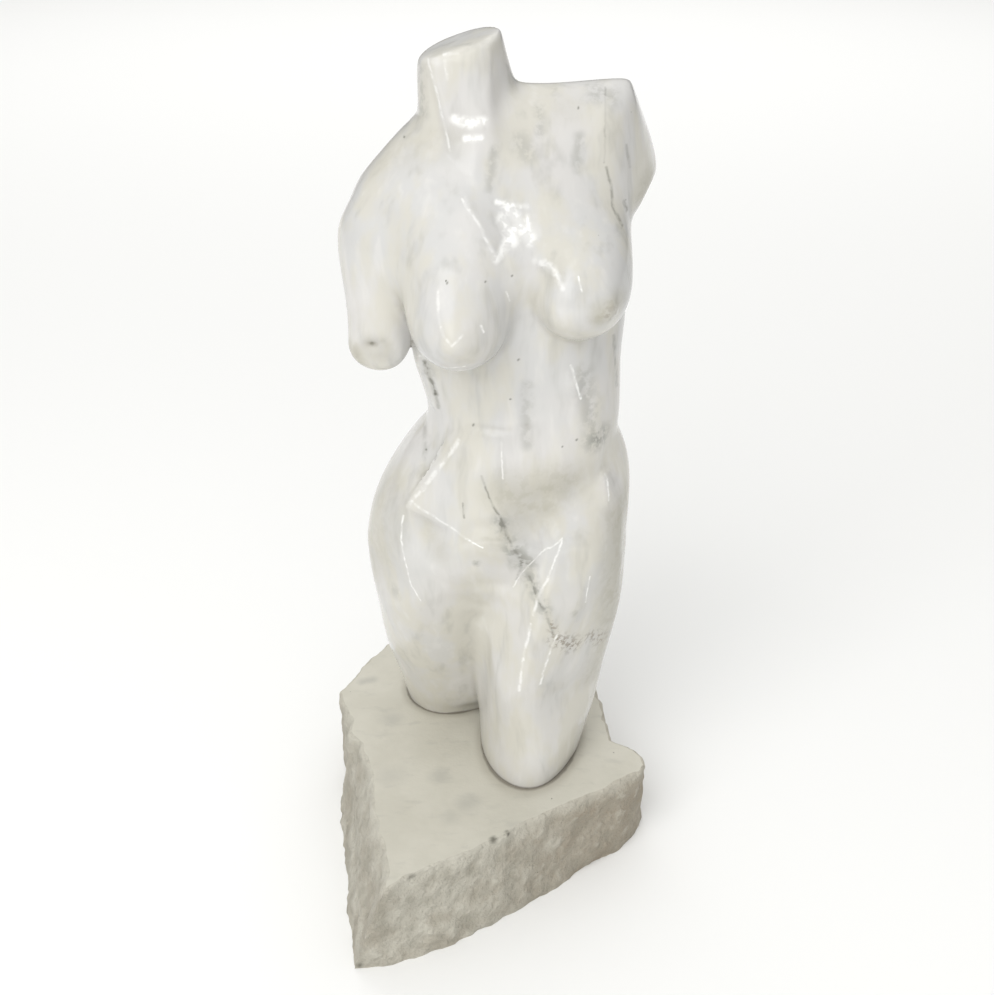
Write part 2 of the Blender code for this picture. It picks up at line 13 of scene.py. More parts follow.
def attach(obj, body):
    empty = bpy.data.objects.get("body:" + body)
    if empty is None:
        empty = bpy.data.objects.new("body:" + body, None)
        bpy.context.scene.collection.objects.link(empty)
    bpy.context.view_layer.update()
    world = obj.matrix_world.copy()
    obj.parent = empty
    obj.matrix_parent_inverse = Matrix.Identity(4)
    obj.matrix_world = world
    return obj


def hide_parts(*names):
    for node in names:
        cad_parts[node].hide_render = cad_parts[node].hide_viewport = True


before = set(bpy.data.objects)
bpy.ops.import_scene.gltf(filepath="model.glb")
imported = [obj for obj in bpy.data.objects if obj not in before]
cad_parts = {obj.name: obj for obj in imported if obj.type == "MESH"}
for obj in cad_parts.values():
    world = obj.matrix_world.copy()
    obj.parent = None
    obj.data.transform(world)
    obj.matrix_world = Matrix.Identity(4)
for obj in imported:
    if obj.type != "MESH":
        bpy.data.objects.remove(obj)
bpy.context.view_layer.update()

# ---- driving dimensions, in metres, as in the CAD part
BASE_TOP = 0.100          # height of the plinth
EDGE = 0.0015             # worn edge round the plinth's top
LEG_END = 0.072           # how deep the thighs run on into the plinth
CUT_EDGE = 0.004          # rounding of the rims where neck and arm are cut
CENTRE = (-0.0088, -0.0044)   # where the part's origin lies in the coordinates used below
FIGURE_BOX = ((-0.17, -0.16, 0.05), (0.17, 0.18, 0.84))     # space searched for the figure
ROCK_BOX = ((-0.08, 0.00, 0.02), (0.13, 0.19, 0.17))        # and for the rough stone
FIGURE_STEP = 0.0032      # size of a face on the figure
ROCK_STEP = 0.0036        # on the rough stone
PLINTH_STEP = 0.0034      # along the plinth's sides
PLINTH_RINGS = 30         # rows of faces up the plinth's sides
EDGE_STEPS = 3            # rows of faces across the worn edge
CREASE_ANGLE = 38         # degrees; sharper edges than this aren't shaded smooth

TRUNK = [  # z, centre x, centre y, half width, front, back
    (0.290, 0.000, 0.020, 0.060, 0.030, 0.060),
    (0.340, 0.002, 0.012, 0.078, 0.054, 0.072),
    (0.385, 0.006, 0.008, 0.086, 0.070, 0.074),
    (0.430, 0.012, 0.004, 0.083, 0.067, 0.064),
    (0.460, 0.021, 0.003, 0.084, 0.062, 0.056),
    (0.487, 0.023, 0.003, 0.085, 0.060, 0.051),
    (0.530, 0.018, 0.004, 0.089, 0.064, 0.056),
    (0.570, 0.016, 0.006, 0.093, 0.068, 0.062),
    (0.615, 0.011, 0.009, 0.094, 0.073, 0.064),
    (0.655, 0.005, 0.012, 0.093, 0.068, 0.062),
    (0.690, 0.000, 0.016, 0.086, 0.052, 0.052),
    (0.725, -0.008, 0.020, 0.058, 0.034, 0.036)]
LEFT_LEG = [  # as for the trunk
    (0.080, 0.0345, 0.010, 0.0490, 0.084, 0.045),
    (0.100, 0.0355, 0.010, 0.0515, 0.0885, 0.050),
    (0.155, 0.0435, 0.006, 0.0560, 0.082, 0.056),
    (0.230, 0.052, 0.000, 0.0590, 0.090, 0.066),
    (0.300, 0.058, 0.000, 0.0605, 0.094, 0.072),
    (0.345, 0.060, 0.004, 0.0595, 0.096, 0.074),
    (0.385, 0.062, 0.008, 0.0600, 0.090, 0.072),
    (0.430, 0.064, 0.008, 0.0570, 0.060, 0.060),
    (0.470, 0.066, 0.006, 0.0435, 0.044, 0.048),
    (0.500, 0.066, 0.005, 0.0300, 0.030, 0.034)]
RIGHT_LEG = [  # as for the trunk
    (0.080, -0.0405, 0.092, 0.0530, 0.0490, 0.045),
    (0.100, -0.0425, 0.086, 0.0540, 0.0500, 0.050),
    (0.149, -0.049, 0.070, 0.0550, 0.0535, 0.056),
    (0.194, -0.056, 0.055, 0.0560, 0.060, 0.062),
    (0.263, -0.060, 0.034, 0.0570, 0.070, 0.068),
    (0.330, -0.0600, 0.015, 0.0608, 0.072, 0.074),
    (0.385, -0.055, 0.010, 0.0565, 0.066, 0.070),
    (0.430, -0.048, 0.008, 0.0415, 0.050, 0.058),
    (0.465, -0.042, 0.006, 0.0255, 0.032, 0.042),
    (0.500, -0.034, 0.005, 0.0100, 0.016, 0.016)]
SHOULDER_BLADES = [  # place, turn in degrees
    ((-0.047, 0.052, 0.640), 18), ((0.058, 0.050, 0.648), -18)]
BUTTOCKS = [  # place, radii
    ((-0.057, 0.062, 0.335), (0.056, 0.052, 0.062)), ((0.060, 0.052, 0.345), (0.056, 0.052, 0.060))]
NIPPLES = [(-0.033, -0.1070, 0.584), (0.086, -0.0870, 0.604)]
SPINE = [(0.000, 0.086, 0.680), (0.016, 0.080, 0.580), (0.018, 0.066, 0.470), (0.004, 0.102, 0.370)]
HIP_BONE = (-0.080, -0.049, 0.404)      # corner of the belly above the right thigh
THIGH_TOP = (0.0565, -0.083, 0.385)     # corner at the top of the left thigh
THIGH_RIDGE = (-0.0862, -0.0449, 0.3659)    # on the ridge of the right thigh
THROAT_EDGE = (-0.0524, -0.0240, 0.7861)    # upper end of the ridge at the throat's side
RIDGES = [  # points (x, z), lift, reach to the line's left and right, length of its ends
    # right flank
    (((-0.0711, 0.5433), (-0.0512, 0.4842)), 0.0035, 0.020, 0.005, 0.012),
    # edges of the long muscles of the belly
    (((-0.0060, 0.5450), (-0.0030, 0.4900)), 0.0016, 0.014, 0.006, 0.016),
    (((0.0240, 0.5400), (0.0260, 0.4700)), -0.0022, 0.010, 0.010, 0.020),
    (((0.0600, 0.5400), (0.0700, 0.5080)), 0.0026, 0.006, 0.014, 0.012),
    (((0.0722, 0.5307), (0.0825, 0.4747)), -0.0018, 0.008, 0.008, 0.020),
    # left hip
    (((0.0930, 0.4400), (0.0980, 0.4022)), 0.0026, 0.010, 0.010, 0.012),
    # inner border of the right breast
    (((-0.0300, 0.6920), (0.0040, 0.6370)), 0.0042, 0.0070, 0.032, 0.014),
    # upper border of the left breast
    (((0.0276, 0.6378), (0.0428, 0.6360), (0.0520, 0.6240)), 0.0040, 0.006, 0.022, 0.008),
    # collar line of the right shoulder
    (((-0.1050, 0.6650), (-0.0250, 0.6960)), 0.0022, 0.012, 0.030, 0.030)]
DIPS = [  # place, radii, depth
    ((0.012, -0.064, 0.666), (0.021, 0.040, 0.026), 0.0040),      # below the collar bones
    ((-0.050, -0.055, 0.372), (0.024, 0.050, 0.020), 0.0030),
    ((0.030, -0.066, 0.405), (0.026, 0.060, 0.017), 0.0045),     # fold between belly and left thigh
    ((0.060, -0.062, 0.420), (0.024, 0.060, 0.015), 0.0045),
    ((0.088, -0.050, 0.434), (0.020, 0.050, 0.014), 0.0030),
    ((-0.012, -0.066, 0.3460), (0.042, 0.040, 0.010), 0.0016),    # under the belly, eased into the thighs
    ((-0.012, -0.057, 0.3225), (0.042, 0.040, 0.009), -0.0020),
    ((-0.016, -0.043, 0.2920), (0.022, 0.030, 0.009), -0.0014),
    ((-0.104, -0.044, 0.555), (0.006, 0.010, 0.004), 0.0040)]    # in the end of the broken arm
PLINTH_TOP = [  # corners from the front one, anticlockwise
    (-0.100, -0.208), (-0.078, -0.194), (-0.043, -0.172), (-0.010, -0.151), (0.038, -0.120),
    (0.085, -0.090), (0.128, -0.063), (0.144, -0.054), (0.1515, -0.043), (0.1495, -0.029),
    (0.141, -0.018), (0.118, -0.004), (0.105, 0.120), (0.050, 0.190), (-0.060, 0.205),
    (-0.128, 0.165), (-0.173, 0.075), (-0.153, 0.027), (-0.155, 0.009), (-0.140, -0.011),
    (-0.124, -0.064), (-0.118, -0.110), (-0.107, -0.157)]
PLINTH_FOOT = [  # the same corners at the floor
    (-0.134, -0.213), (-0.106, -0.209), (-0.058, -0.191), (-0.023, -0.172), (0.027, -0.136),
    (0.075, -0.095), (0.127, -0.060), (0.142, -0.042), (0.150, -0.028), (0.154, -0.012),
    (0.147, -0.002), (0.126, 0.005), (0.118, 0.130), (0.045, 0.195), (-0.065, 0.200),
    (-0.130, 0.170), (-0.171, 0.078), (-0.166, 0.038), (-0.168, 0.013), (-0.165, -0.012),
    (-0.159, -0.060), (-0.151, -0.110), (-0.142, -0.162)]


# ------------------------------------------------------------------ field tools
def spline(knots, values, t):
    """Natural cubic spline through (knots, values), held flat beyond both ends."""
    x = np.asarray(knots, float)
    y = np.asarray(values, float)
    n = len(x)
    h = np.diff(x)
    a = np.eye(n)
    r = np.zeros(n)
    for i in range(1, n-1):
        a[i, i-1:i+2] = h[i-1], 2*(h[i-1]+h[i]), h[i]
        r[i] = 6*((y[i+1]-y[i])/h[i]-(y[i]-y[i-1])/h[i-1])
    m = np.linalg.solve(a, r)
    t = np.clip(t, x[0], x[-1])
    i = np.clip(np.searchsorted(x, t)-1, 0, n-2)
    u = (t-x[i])/h[i]
    v = 1-u
    return v*y[i]+u*y[i+1]+((v**3-v)*m[i]+(u**3-u)*m[i+1])*h[i]**2/6


def union(a, b, k):
    """Join two masses, with a fillet of about k."""
    return (a+b-np.hypot(a-b, k))/2


def common(a, b, k):
    """Keep what two masses share, with the edge rounded by about k."""
    return (a+b+np.hypot(a-b, k))/2


def carve(a, b, k):
    """Take b out of a."""
    return common(a, -b, k)


def fade(t, low, high, at_low, at_high):
    """Ease from one value to another while t goes from low to high."""
    s = np.clip((t-low)/(high-low), 0, 1)
    return at_low+(at_high-at_low)*s*s*(3-2*s)


def loft(p, stations, power):
    """A mass given by its level sections: z, centre x and y, half width, front and back depth."""
    s = np.array(stations, float)
    cx, cy, half, front, back = (spline(s[:, 0], s[:, j], p[2]) for j in range(1, 6))
    u = p[0]-cx
    v = p[1]-cy
    w = 0.5+0.5*np.tanh(v/(0.35*half))
    depth = front*(1-w)+back*w
    a = np.abs(u/half)+1e-9
    b = np.abs(v/depth)+1e-9
    r = (a**power+b**power)**(1/power)
    slope = r**(1-power)*np.hypot(a**(power-1)/half, b**(power-1)/depth)
    return (r-1)/slope


def turned(p, centre, yaw, pitch, roll):
    """Coordinates about a centre, turned about z, x and y in that order."""
    x, y, z = (p[i]-centre[i] for i in range(3))
    a = radians(yaw)
    x, y = x*cos(a)+y*sin(a), -x*sin(a)+y*cos(a)
    a = radians(pitch)
    y, z = y*cos(a)+z*sin(a), -y*sin(a)+z*cos(a)
    a = radians(roll)
    z, x = z*cos(a)+x*sin(a), -z*sin(a)+x*cos(a)
    return x, y, z


def ellipsoid(p, centre, radii, yaw=0, pitch=0, roll=0):
    """A mass with three radii, turned about its centre."""
    q = turned(p, centre, yaw, pitch, roll)
    k0 = np.sqrt(sum((q[i]/radii[i])**2 for i in range(3)))+1e-9
    k1 = np.sqrt(sum((q[i]/radii[i]**2)**2 for i in range(3)))+1e-9
    return k0*(k0-1)/k1


def limb(p, start, end, r0, r1, flat=1.0, side=None):
    """A tapered round mass along start-end; flat < 1 squeezes it across the direction side."""
    a, b = np.array(start, float), np.array(end, float)
    d = b-a
    square = d@d
    q = [p[i]-a[i] for i in range(3)]
    t = np.clip(sum(q[i]*d[i] for i in range(3))/square, 0, 1)
    e = [q[i]-t*d[i] for i in range(3)]
    if side is not None:
        s = np.array(side, float)
        s -= d*(s@d)/square
        s /= np.linalg.norm(s)
        c = sum(e[i]*s[i] for i in range(3))
        e = [e[i]+c*s[i]*(1/flat-1) for i in range(3)]
    t = t*t*(3-2*t)
    return np.sqrt(sum(c*c for c in e))-(r0+(r1-r0)*t)


def plane(p, point, normal):
    """Solid behind a flat cut; the normal points out of the stone."""
    n = np.array(normal, float)
    n /= np.linalg.norm(n)
    return sum((p[i]-point[i])*n[i] for i in range(3))


def breast(p, apex, width, depth, drop, yaw, rise, lean):
    """Full and round below its apex; above, drawn out by rise and leaning back into the chest."""
    qx, qy, qz = turned(p, apex, yaw, 0, 0)
    up = np.logaddexp(0, qz/0.010)*0.010
    down = qz-up
    qz = down+up/rise
    qy = qy-lean*up
    return ellipsoid((qx, qy, qz), (0, 0, 0), (width, depth, drop))


def crest(p, line, lift, left, right, ends):
    """A ridge on the front (lift > 0) or a groove (lift < 0) along a line of x, z points. It dies
    away over the lengths left and right of the line, as seen from the front, and at its ends."""
    nearest = np.full(p[0].shape, 9.0)
    lean = np.zeros(p[0].shape)
    along = np.zeros(p[0].shape)
    done = 0.0
    for start, end in zip(line[:-1], line[1:]):
        dx, dz = end[0]-start[0], end[1]-start[1]
        length = np.hypot(dx, dz)
        dx, dz = dx/length, dz/length
        u, v = p[0]-start[0], p[2]-start[1]
        s = np.clip(u*dx+v*dz, 0, length)
        away = np.hypot(u-s*dx, v-s*dz)+1e-9
        closer = away < nearest
        nearest = np.where(closer, away, nearest)
        lean = np.where(closer, (v*dx-u*dz)/away, lean)
        along = np.where(closer, done+s, along)
        done += length
    reach = right+(left-right)*(0.5+0.5*lean)
    shape = np.exp(-(np.hypot(nearest, 0.0012)-0.0012)/reach)
    blunt = ends+1.6*nearest
    shape = shape*fade(along, 0, blunt, 0, 1)*fade(done-along, 0, blunt, 0, 1)
    return lift*shape*(0.5-0.5*np.tanh((p[1]-0.005)/0.012))


def hollow(p, centre, radii, depth):
    """A soft dip in the surface near a point."""
    return -depth*np.exp(-sum(((p[i]-centre[i])/radii[i])**2 for i in range(3)))


# ------------------------------------------------------------------ the figure
def chest_and_back(p):
    """The trunk from the shoulders to the groin, with spine and shoulder blades."""
    trunk = loft(p, TRUNK, 2.3)
    trunk = common(trunk, plane(p, (0, 0, 0.315), (0, 0, -1)), 0.02)
    trunk = common(trunk, plane(p, (0, 0, 0.722), (0, 0, 1)), 0.02)
    for start, end in zip(SPINE[:-1], SPINE[1:]):
        trunk = carve(trunk, limb(p, start, end, 0.009, 0.009), 0.016)
    for centre, yaw in SHOULDER_BLADES:
        trunk = union(trunk, ellipsoid(p, centre, (0.032, 0.022, 0.046), yaw=yaw, pitch=8), 0.014)
    return trunk


def belly(p):
    """Two slanting faces that meet along the middle, edged by the hip bone and the groin."""
    right = plane(p, HIP_BONE, (-0.284, -0.948, 0.14))
    left = plane(p, (0.005, -0.067, 0.455), (0.233, -0.961, 0.14))
    mass = common(right, left, 0.004)
    mass = common(mass, plane(p, (0.000, -0.064, 0.478), (0.00, -0.45, 0.89)), 0.004)
    mass = common(mass, plane(p, HIP_BONE, (-0.615, -0.66, 0.43)), 0.003)
    mass = common(mass, plane(p, HIP_BONE, (-0.482, -0.43, -0.764)), 0.002)
    mass = common(mass, plane(p, (0.000, -0.0734, 0.373), (0.46, -0.60, -0.652)), 0.014)
    mass = common(mass, plane(p, (0.075, -0.050, 0.440), (0.90, -0.40, 0.10)), 0.010)
    return common(mass, plane(p, (0, -0.034, 0.42), (-0.20, 0.98, 0)), 0.002)


def left_thigh(p):
    """The leading leg, with a front and an outer face; the inner face is cut later."""
    z = p[2]
    leg = loft(p, LEFT_LEG, fade(z, 0.12, 0.20, 2.1, 2.6)-fade(z, 0.26, 0.32, 0, 0.5))
    leg = common(leg, plane(p, (0, 0, 0.480), (0, 0, 1)), 0.03)
    leg = common(leg, plane(p, (0.0780, -0.030, 0.100), (0.88, -0.475, -0.18)), 0.006)
    away = fade(z, 0.10, 0.21, 0.030, 0)
    edge = fade(z, 0.18, 0.30, 0.006, 0.002)
    leg = common(leg, plane(p, THIGH_TOP, (0.158, -0.985, -0.067))-away, edge)
    return common(leg, plane(p, (0.084, -0.0757, 0.357), (0.638, -0.740, -0.212))-away, edge+0.002)


def pubis(p):
    """The low mound between the groin and the left thigh, nearly flat in front."""
    mass = ellipsoid(p, (0.006, -0.030, 0.356), (0.052, 0.060, 0.048))
    mass = common(mass, plane(p, THIGH_TOP, (-0.108, -0.924, -0.366)), 0.004)
    return common(mass, plane(p, THIGH_TOP, (0.850, -0.500, 0.160)), 0.006)


def right_thigh(p):
    """The trailing leg, with one ridge down from the hip bone."""
    leg = common(loft(p, RIGHT_LEG, 2.1), plane(p, (0, 0, 0.475), (0, 0, 1)), 0.02)
    away = fade(p[2], 0.22, 0.32, 0.030, 0)
    leg = common(leg, plane(p, THIGH_RIDGE, (-0.118, -0.987, 0.097))-away, 0.003)
    return common(leg, plane(p, THIGH_RIDGE, (-0.750, -0.650, -0.100))-away, 0.003)


def shoulders(p, body):
    """The left arm raised and broken off at the shoulder, the right one above the elbow."""
    left = limb(p, (0.015, 0.017, 0.706), (0.150, 0.018, 0.708), 0.040, 0.0530, 0.80, (0, 1, 0))
    left = common(left, plane(p, (0.0885, -0.020, 0.720), (0.75, -0.65, 0.02)), 0.016)
    left = common(left, plane(p, (0.1085, 0.020, 0.755), (0.945, -0.26, 0.20)), CUT_EDGE)
    left = common(left, plane(p, (0.1116, 0.020, 0.735), (0.920, -0.04, 0.380)), 0.003)
    left = common(left, plane(p, (0.1135, 0.020, 0.660), (0.840, -0.21, -0.500)), 0.003)
    body = union(body, left, 0.014)
    slope = limb(p, (-0.030, 0.016, 0.702), (-0.077, 0.010, 0.655), 0.029, 0.0365)
    body = union(body, slope, 0.015)
    cap = ellipsoid(p, (-0.0865, 0.004, 0.620), (0.0320, 0.040, 0.052), roll=8)
    arm = limb(p, (-0.0945, -0.002, 0.635), (-0.1010, -0.027, 0.5505), 0.0305, 0.0235)
    arm = common(arm, plane(p, (-0.100, -0.045, 0.563), (-0.08, -0.93, -0.35)), 0.004)
    return union(body, union(arm, cap, 0.012), 0.006)


def breasts(p, body):
    """The right one hangs full, the left one is drawn up towards the raised arm."""
    z = p[2]
    soft = fade(z, 0.575, 0.640, 0.006, 0.030)
    body = union(body, breast(p, (-0.032, -0.058, 0.590), 0.0405, 0.053, 0.045, 4, 1.7, 0.45), soft)
    soft = fade(z, 0.600, 0.650, 0.006, 0.020)
    body = union(body, breast(p, (0.070, -0.050, 0.605), 0.0350, 0.048, 0.036, -24, 1.2, 0.25), soft)
    for point in NIPPLES:
        body = union(body, ellipsoid(p, point, (0.003, 0.003, 0.003)), 0.012)
    return body


def neck(p, body):
    """Flat in front, and cut off nearly level; the throat ends round above the breast bone."""
    mass = limb(p, (-0.015, 0.019, 0.690), (-0.0395, 0.000, 0.830), 0.044, 0.0318)
    mass = common(mass, plane(p, (-0.030, -0.016, 0.770), (0.20, -0.97, 0.10)), 0.010)
    body = union(body, mass, fade(p[1], -0.020, 0.005, 0.010, 0.005))
    throat = limb(p, (-0.0335, -0.005, 0.800), (-0.0215, -0.0235, 0.7205), 0.0285, 0.0180)
    throat = common(throat, plane(p, THROAT_EDGE, (0.049, -0.980, 0.170)), 0.003)
    throat = common(throat, plane(p, THROAT_EDGE, (-0.850, -0.495, -0.130)), 0.002)
    body = union(body, throat, fade(p[0], -0.040, -0.012, 0.004, 0.014))
    body = common(body, plane(p, (-0.024, 0.000, 0.7915), (-0.310, -0.06, 1.00)), CUT_EDGE)
    return common(body, plane(p, (-0.064, 0.0, 0.785), (-0.80, 0.0, 0.60)), 0.008)


def figure(p):
    """The torso, negative inside; its legs run on a little way into the plinth."""
    x, y, z = p
    trunk = chest_and_back(p)
    # the belly ends below at two slanting lines
    trunk = common(trunk, plane(p, (-0.045, -0.055, 0.384), (-0.60, 0.05, -0.78)), 0.003)
    trunk = common(trunk, plane(p, (0.055, -0.055, 0.388), (0.52, -0.10, -0.85)), 0.010)
    trunk = union(trunk, belly(p), fade(x, 0.00, 0.06, 0.003, 0.010))
    # thighs and hips, with the stone left solid between the thighs
    inner = limb(p, (0.000, -0.010, 0.345), (0.006, 0.012, 0.150), 0.040, 0.020)
    left = union(left_thigh(p), inner, 0.010)
    away = fade(z, 0.10, 0.21, 0.030, 0)
    left = common(left, plane(p, THIGH_TOP, (-0.687, -0.717, 0.118))-away, 0.002)
    left = union(left, pubis(p), fade(z, 0.310, 0.345, 0.016, 0.003))
    web = limb(p, (-0.024, -0.018, 0.350), (-0.020, 0.074, 0.090), 0.036, 0.019)
    web = common(web, plane(p, (-0.020, -0.045, 0.300), (0.84, -0.54, 0)), 0.008)
    right = union(right_thigh(p), web, 0.014)
    heel = fade(z, 0.10, 0.20, 0, 0.150)
    right = common(right, plane(p, (-0.036, 0.0385, 0.100), (0.354, -0.935, 0))-heel, 0.012)
    legs = union(left, right, fade(z, 0.10, 0.18, 0.003, 0.007)+fade(z, 0.320, 0.350, 0, 0.014))
    soft = fade(x, -0.020, 0.030, 0, 0.010)*fade(y, -0.050, -0.030, 1, 0)
    body = union(trunk, legs, 0.005+soft+fade(z, 0.335, 0.365, 0.012, 0))
    for centre, radii in BUTTOCKS:
        body = union(body, ellipsoid(p, centre, radii), 0.010)
    body = shoulders(p, body)
    body = breasts(p, body)
    body = neck(p, body)
    body = common(body, plane(p, (0, 0, LEG_END), (0, 0, -1)), 0.002)
    line = sum(crest(p, *ridge) for ridge in RIDGES)+sum(hollow(p, *dip) for dip in DIPS)
    return body-line


# ------------------------------------------------------------------ rough stone
def hash_of(i, j, k):
    """A fixed number between -1 and 1 for each whole-numbered place."""
    h = (i*73856093) ^ (j*19349663) ^ (k*83492791)
    h = ((h ^ (h >> 13))*1274126177) & 0xFFFFFFFF
    return ((h ^ (h >> 16)) & 0xFFFF)/32767.5-1


def noise(p, size, seed):
    """Smooth value noise with lumps of about the given size."""
    q = [np.asarray(c)/size+17.3*seed for c in p]
    i = [np.floor(c).astype(np.int64) for c in q]
    f = [a-b for a, b in zip(q, i)]
    w = [a*a*a*(a*(a*6-15)+10) for a in f]
    out = 0
    for dx in (0, 1):
        for dy in (0, 1):
            for dz in (0, 1):
                c = (w[0] if dx else 1-w[0])*(w[1] if dy else 1-w[1])*(w[2] if dz else 1-w[2])
                out = out+c*hash_of(i[0]+dx, i[1]+dy, i[2]+dz)
    return out


def hewn(p):
    """Depth of the point-chisel work, about 3 mm either way."""
    return 0.0030*noise(p, 0.034, 1)+0.0016*noise(p, 0.013, 2)+0.0010*noise(p, 0.006, 3)


def rock(p):
    """The lump of rough stone left behind the legs."""
    mass = limb(p, (-0.010, 0.110, 0.080), (0.040, 0.080, 0.080), 0.055, 0.045)
    mass = common(mass, plane(p, (0.025, 0.100, 0.127), (0.40, 0.30, 1)), 0.006)
    mass = common(mass, plane(p, (0, 0, 0.050), (0, 0, -1)), 0.004)
    return mass+1.5*hewn(p)


# ------------------------------------------------------------------ meshes
def surface(field, low, high, step, rounds):
    """Close a field's zero level with quads about one step long and settle them onto it."""
    axes = [np.arange(a, b+step, step) for a, b in zip(low, high)]
    value = field(np.meshgrid(*axes, indexing="ij"))
    inside = value < 0
    size = [n-1 for n in value.shape]
    corners = [(i, j, k) for i in (0, 1) for j in (0, 1) for k in (0, 1)]
    count = np.zeros(size, int)
    for i, j, k in corners:
        count += inside[i:i+size[0], j:j+size[1], k:k+size[2]]
    cells = np.argwhere((count > 0) & (count < 8))
    number = np.full(size, -1)
    number[tuple(cells.T)] = np.arange(len(cells))
    total = np.zeros((len(cells), 3))
    hits = np.zeros(len(cells))
    for a in corners:
        for axis in range(3):
            if a[axis]:
                continue
            b = list(a)
            b[axis] = 1
            va = value[tuple((cells+a).T)]
            vb = value[tuple((cells+b).T)]
            cut = (va < 0) != (vb < 0)
            t = np.where(cut, va/np.where(cut, va-vb, 1), 0)
            place = np.array(a, float)+t[:, None]*(np.array(b)-np.array(a))
            total += np.where(cut[:, None], place, 0)
            hits += cut
    points = (cells+total/hits[:, None])*step+np.array(low)
    quads = []
    for axis in range(3):
        first = np.moveaxis(inside, axis, 0)[:-1, 1:-1, 1:-1]
        second = np.moveaxis(inside, axis, 0)[1:, 1:-1, 1:-1]
        cell = np.moveaxis(number, axis, 0)
        ring = [cell[:, :-1, :-1], cell[:, 1:, :-1], cell[:, 1:, 1:], cell[:, :-1, 1:]]
        ring = np.stack(ring, -1)
        if axis == 1:
            ring = ring[..., ::-1]
        quads.append(ring[first & ~second])
        quads.append(ring[second & ~first][:, ::-1])
    quads = np.concatenate(quads)
    edges = np.concatenate([quads[:, [i, (i+1) % 4]] for i in range(4)])
    points = settle(field, points, step, 2)
    for _ in range(rounds):
        near = np.zeros_like(points)
        np.add.at(near, edges[:, 0], points[edges[:, 1]])
        np.add.at(near, edges[:, 1], points[edges[:, 0]])
        share = np.bincount(edges.ravel(), minlength=len(points))[:, None]
        points = settle(field, points*0.5+0.5*near/share, step, 1)
    return points, quads


def settle(field, points, step, rounds):
    """Move points straight onto the field's zero level."""
    e = step*0.3
    for _ in range(rounds):
        value = field(points.T)
        slope = np.zeros_like(points)
        for i in range(3):
            side = np.zeros(3)
            side[i] = e
            slope[:, i] = (field((points+side).T)-field((points-side).T))/(2*e)
        move = (value/((slope*slope).sum(1)+1e-6))[:, None]*slope
        reach = np.linalg.norm(move, axis=1, keepdims=True)
        points = points-move*np.minimum(1, step/np.maximum(reach, 1e-9))
    return points


def plinth_mesh(spacing, rings, steps):
    """The hewn block: rings of points from the foot to the top, with an unevenly worn edge in a
    number of steps, and flat caps above and below."""
    foot, top = [], []
    corners = len(PLINTH_TOP)
    for i in range(corners):
        a, b = np.array(PLINTH_TOP[i]), np.array(PLINTH_TOP[(i+1) % corners])
        c, d = np.array(PLINTH_FOOT[i]), np.array(PLINTH_FOOT[(i+1) % corners])
        parts = max(1, round(np.linalg.norm(b-a)/spacing))
        for k in range(parts):
            top.append(a+(b-a)*k/parts)
            foot.append(c+(d-c)*k/parts)
    foot, top = np.array(foot), np.array(top)
    count = len(top)
    along = np.roll(top, -1, 0)-np.roll(top, 1, 0)
    out = np.stack([along[:, 1], -along[:, 0]], 1)/np.linalg.norm(along, axis=1, keepdims=True)
    worn = EDGE*(1.7+0.9*noise((top[:, 0], top[:, 1], np.zeros(count)), 0.011, 4))
    points = []
    for k in range(rings+1):
        s = k/rings
        z = (BASE_TOP-worn)*s
        ring = foot+(top-foot)*(z/BASE_TOP)[:, None]
        depth = hewn((ring[:, 0], ring[:, 1], z))
        ring = ring-out*depth[:, None]
        points += [(x, y, h) for (x, y), h in zip(ring, z)]
    for k in range(1, steps+1):
        turn = radians(90)*k/steps
        z = BASE_TOP-worn*(1-sin(turn))
        depth = hewn((top[:, 0], top[:, 1], z))+worn*(1-cos(turn))
        points += [(x, y, h) for (x, y), h in zip(top-out*depth[:, None], z)]
    faces = []
    for k in range(rings+steps):
        for i in range(count):
            j = (i+1) % count
            faces.append((k*count+i, k*count+j, (k+1)*count+j, (k+1)*count+i))
    faces.append(tuple(range(count))[::-1])
    faces.append(tuple(range((rings+steps)*count, (rings+steps+1)*count)))
    return points, faces


# ------------------------------------------------------------------ the stone
POLISHED, HONED, HEWN = 0, 1, 2     # places of the three materials on the mesh


def put(name, data):
    """A new object in the scene."""
    item = bpy.data.objects.new(name, data)
    bpy.context.scene.collection.objects.link(item)
    return item


def form(name, points, faces, materials, finish):
    """A mesh object with every material; finish gives each face's material, or one for all."""
    mesh = bpy.data.meshes.new(name)
    mesh.from_pydata([(x-CENTRE[0], y-CENTRE[1], z) for x, y, z in points], [], [list(f) for f in faces])
    for material in materials:
        mesh.materials.append(material)
    mesh.polygons.foreach_set("material_index", np.broadcast_to(finish, len(faces)).astype(np.int32))
    mesh.update()
    return put(name, mesh)


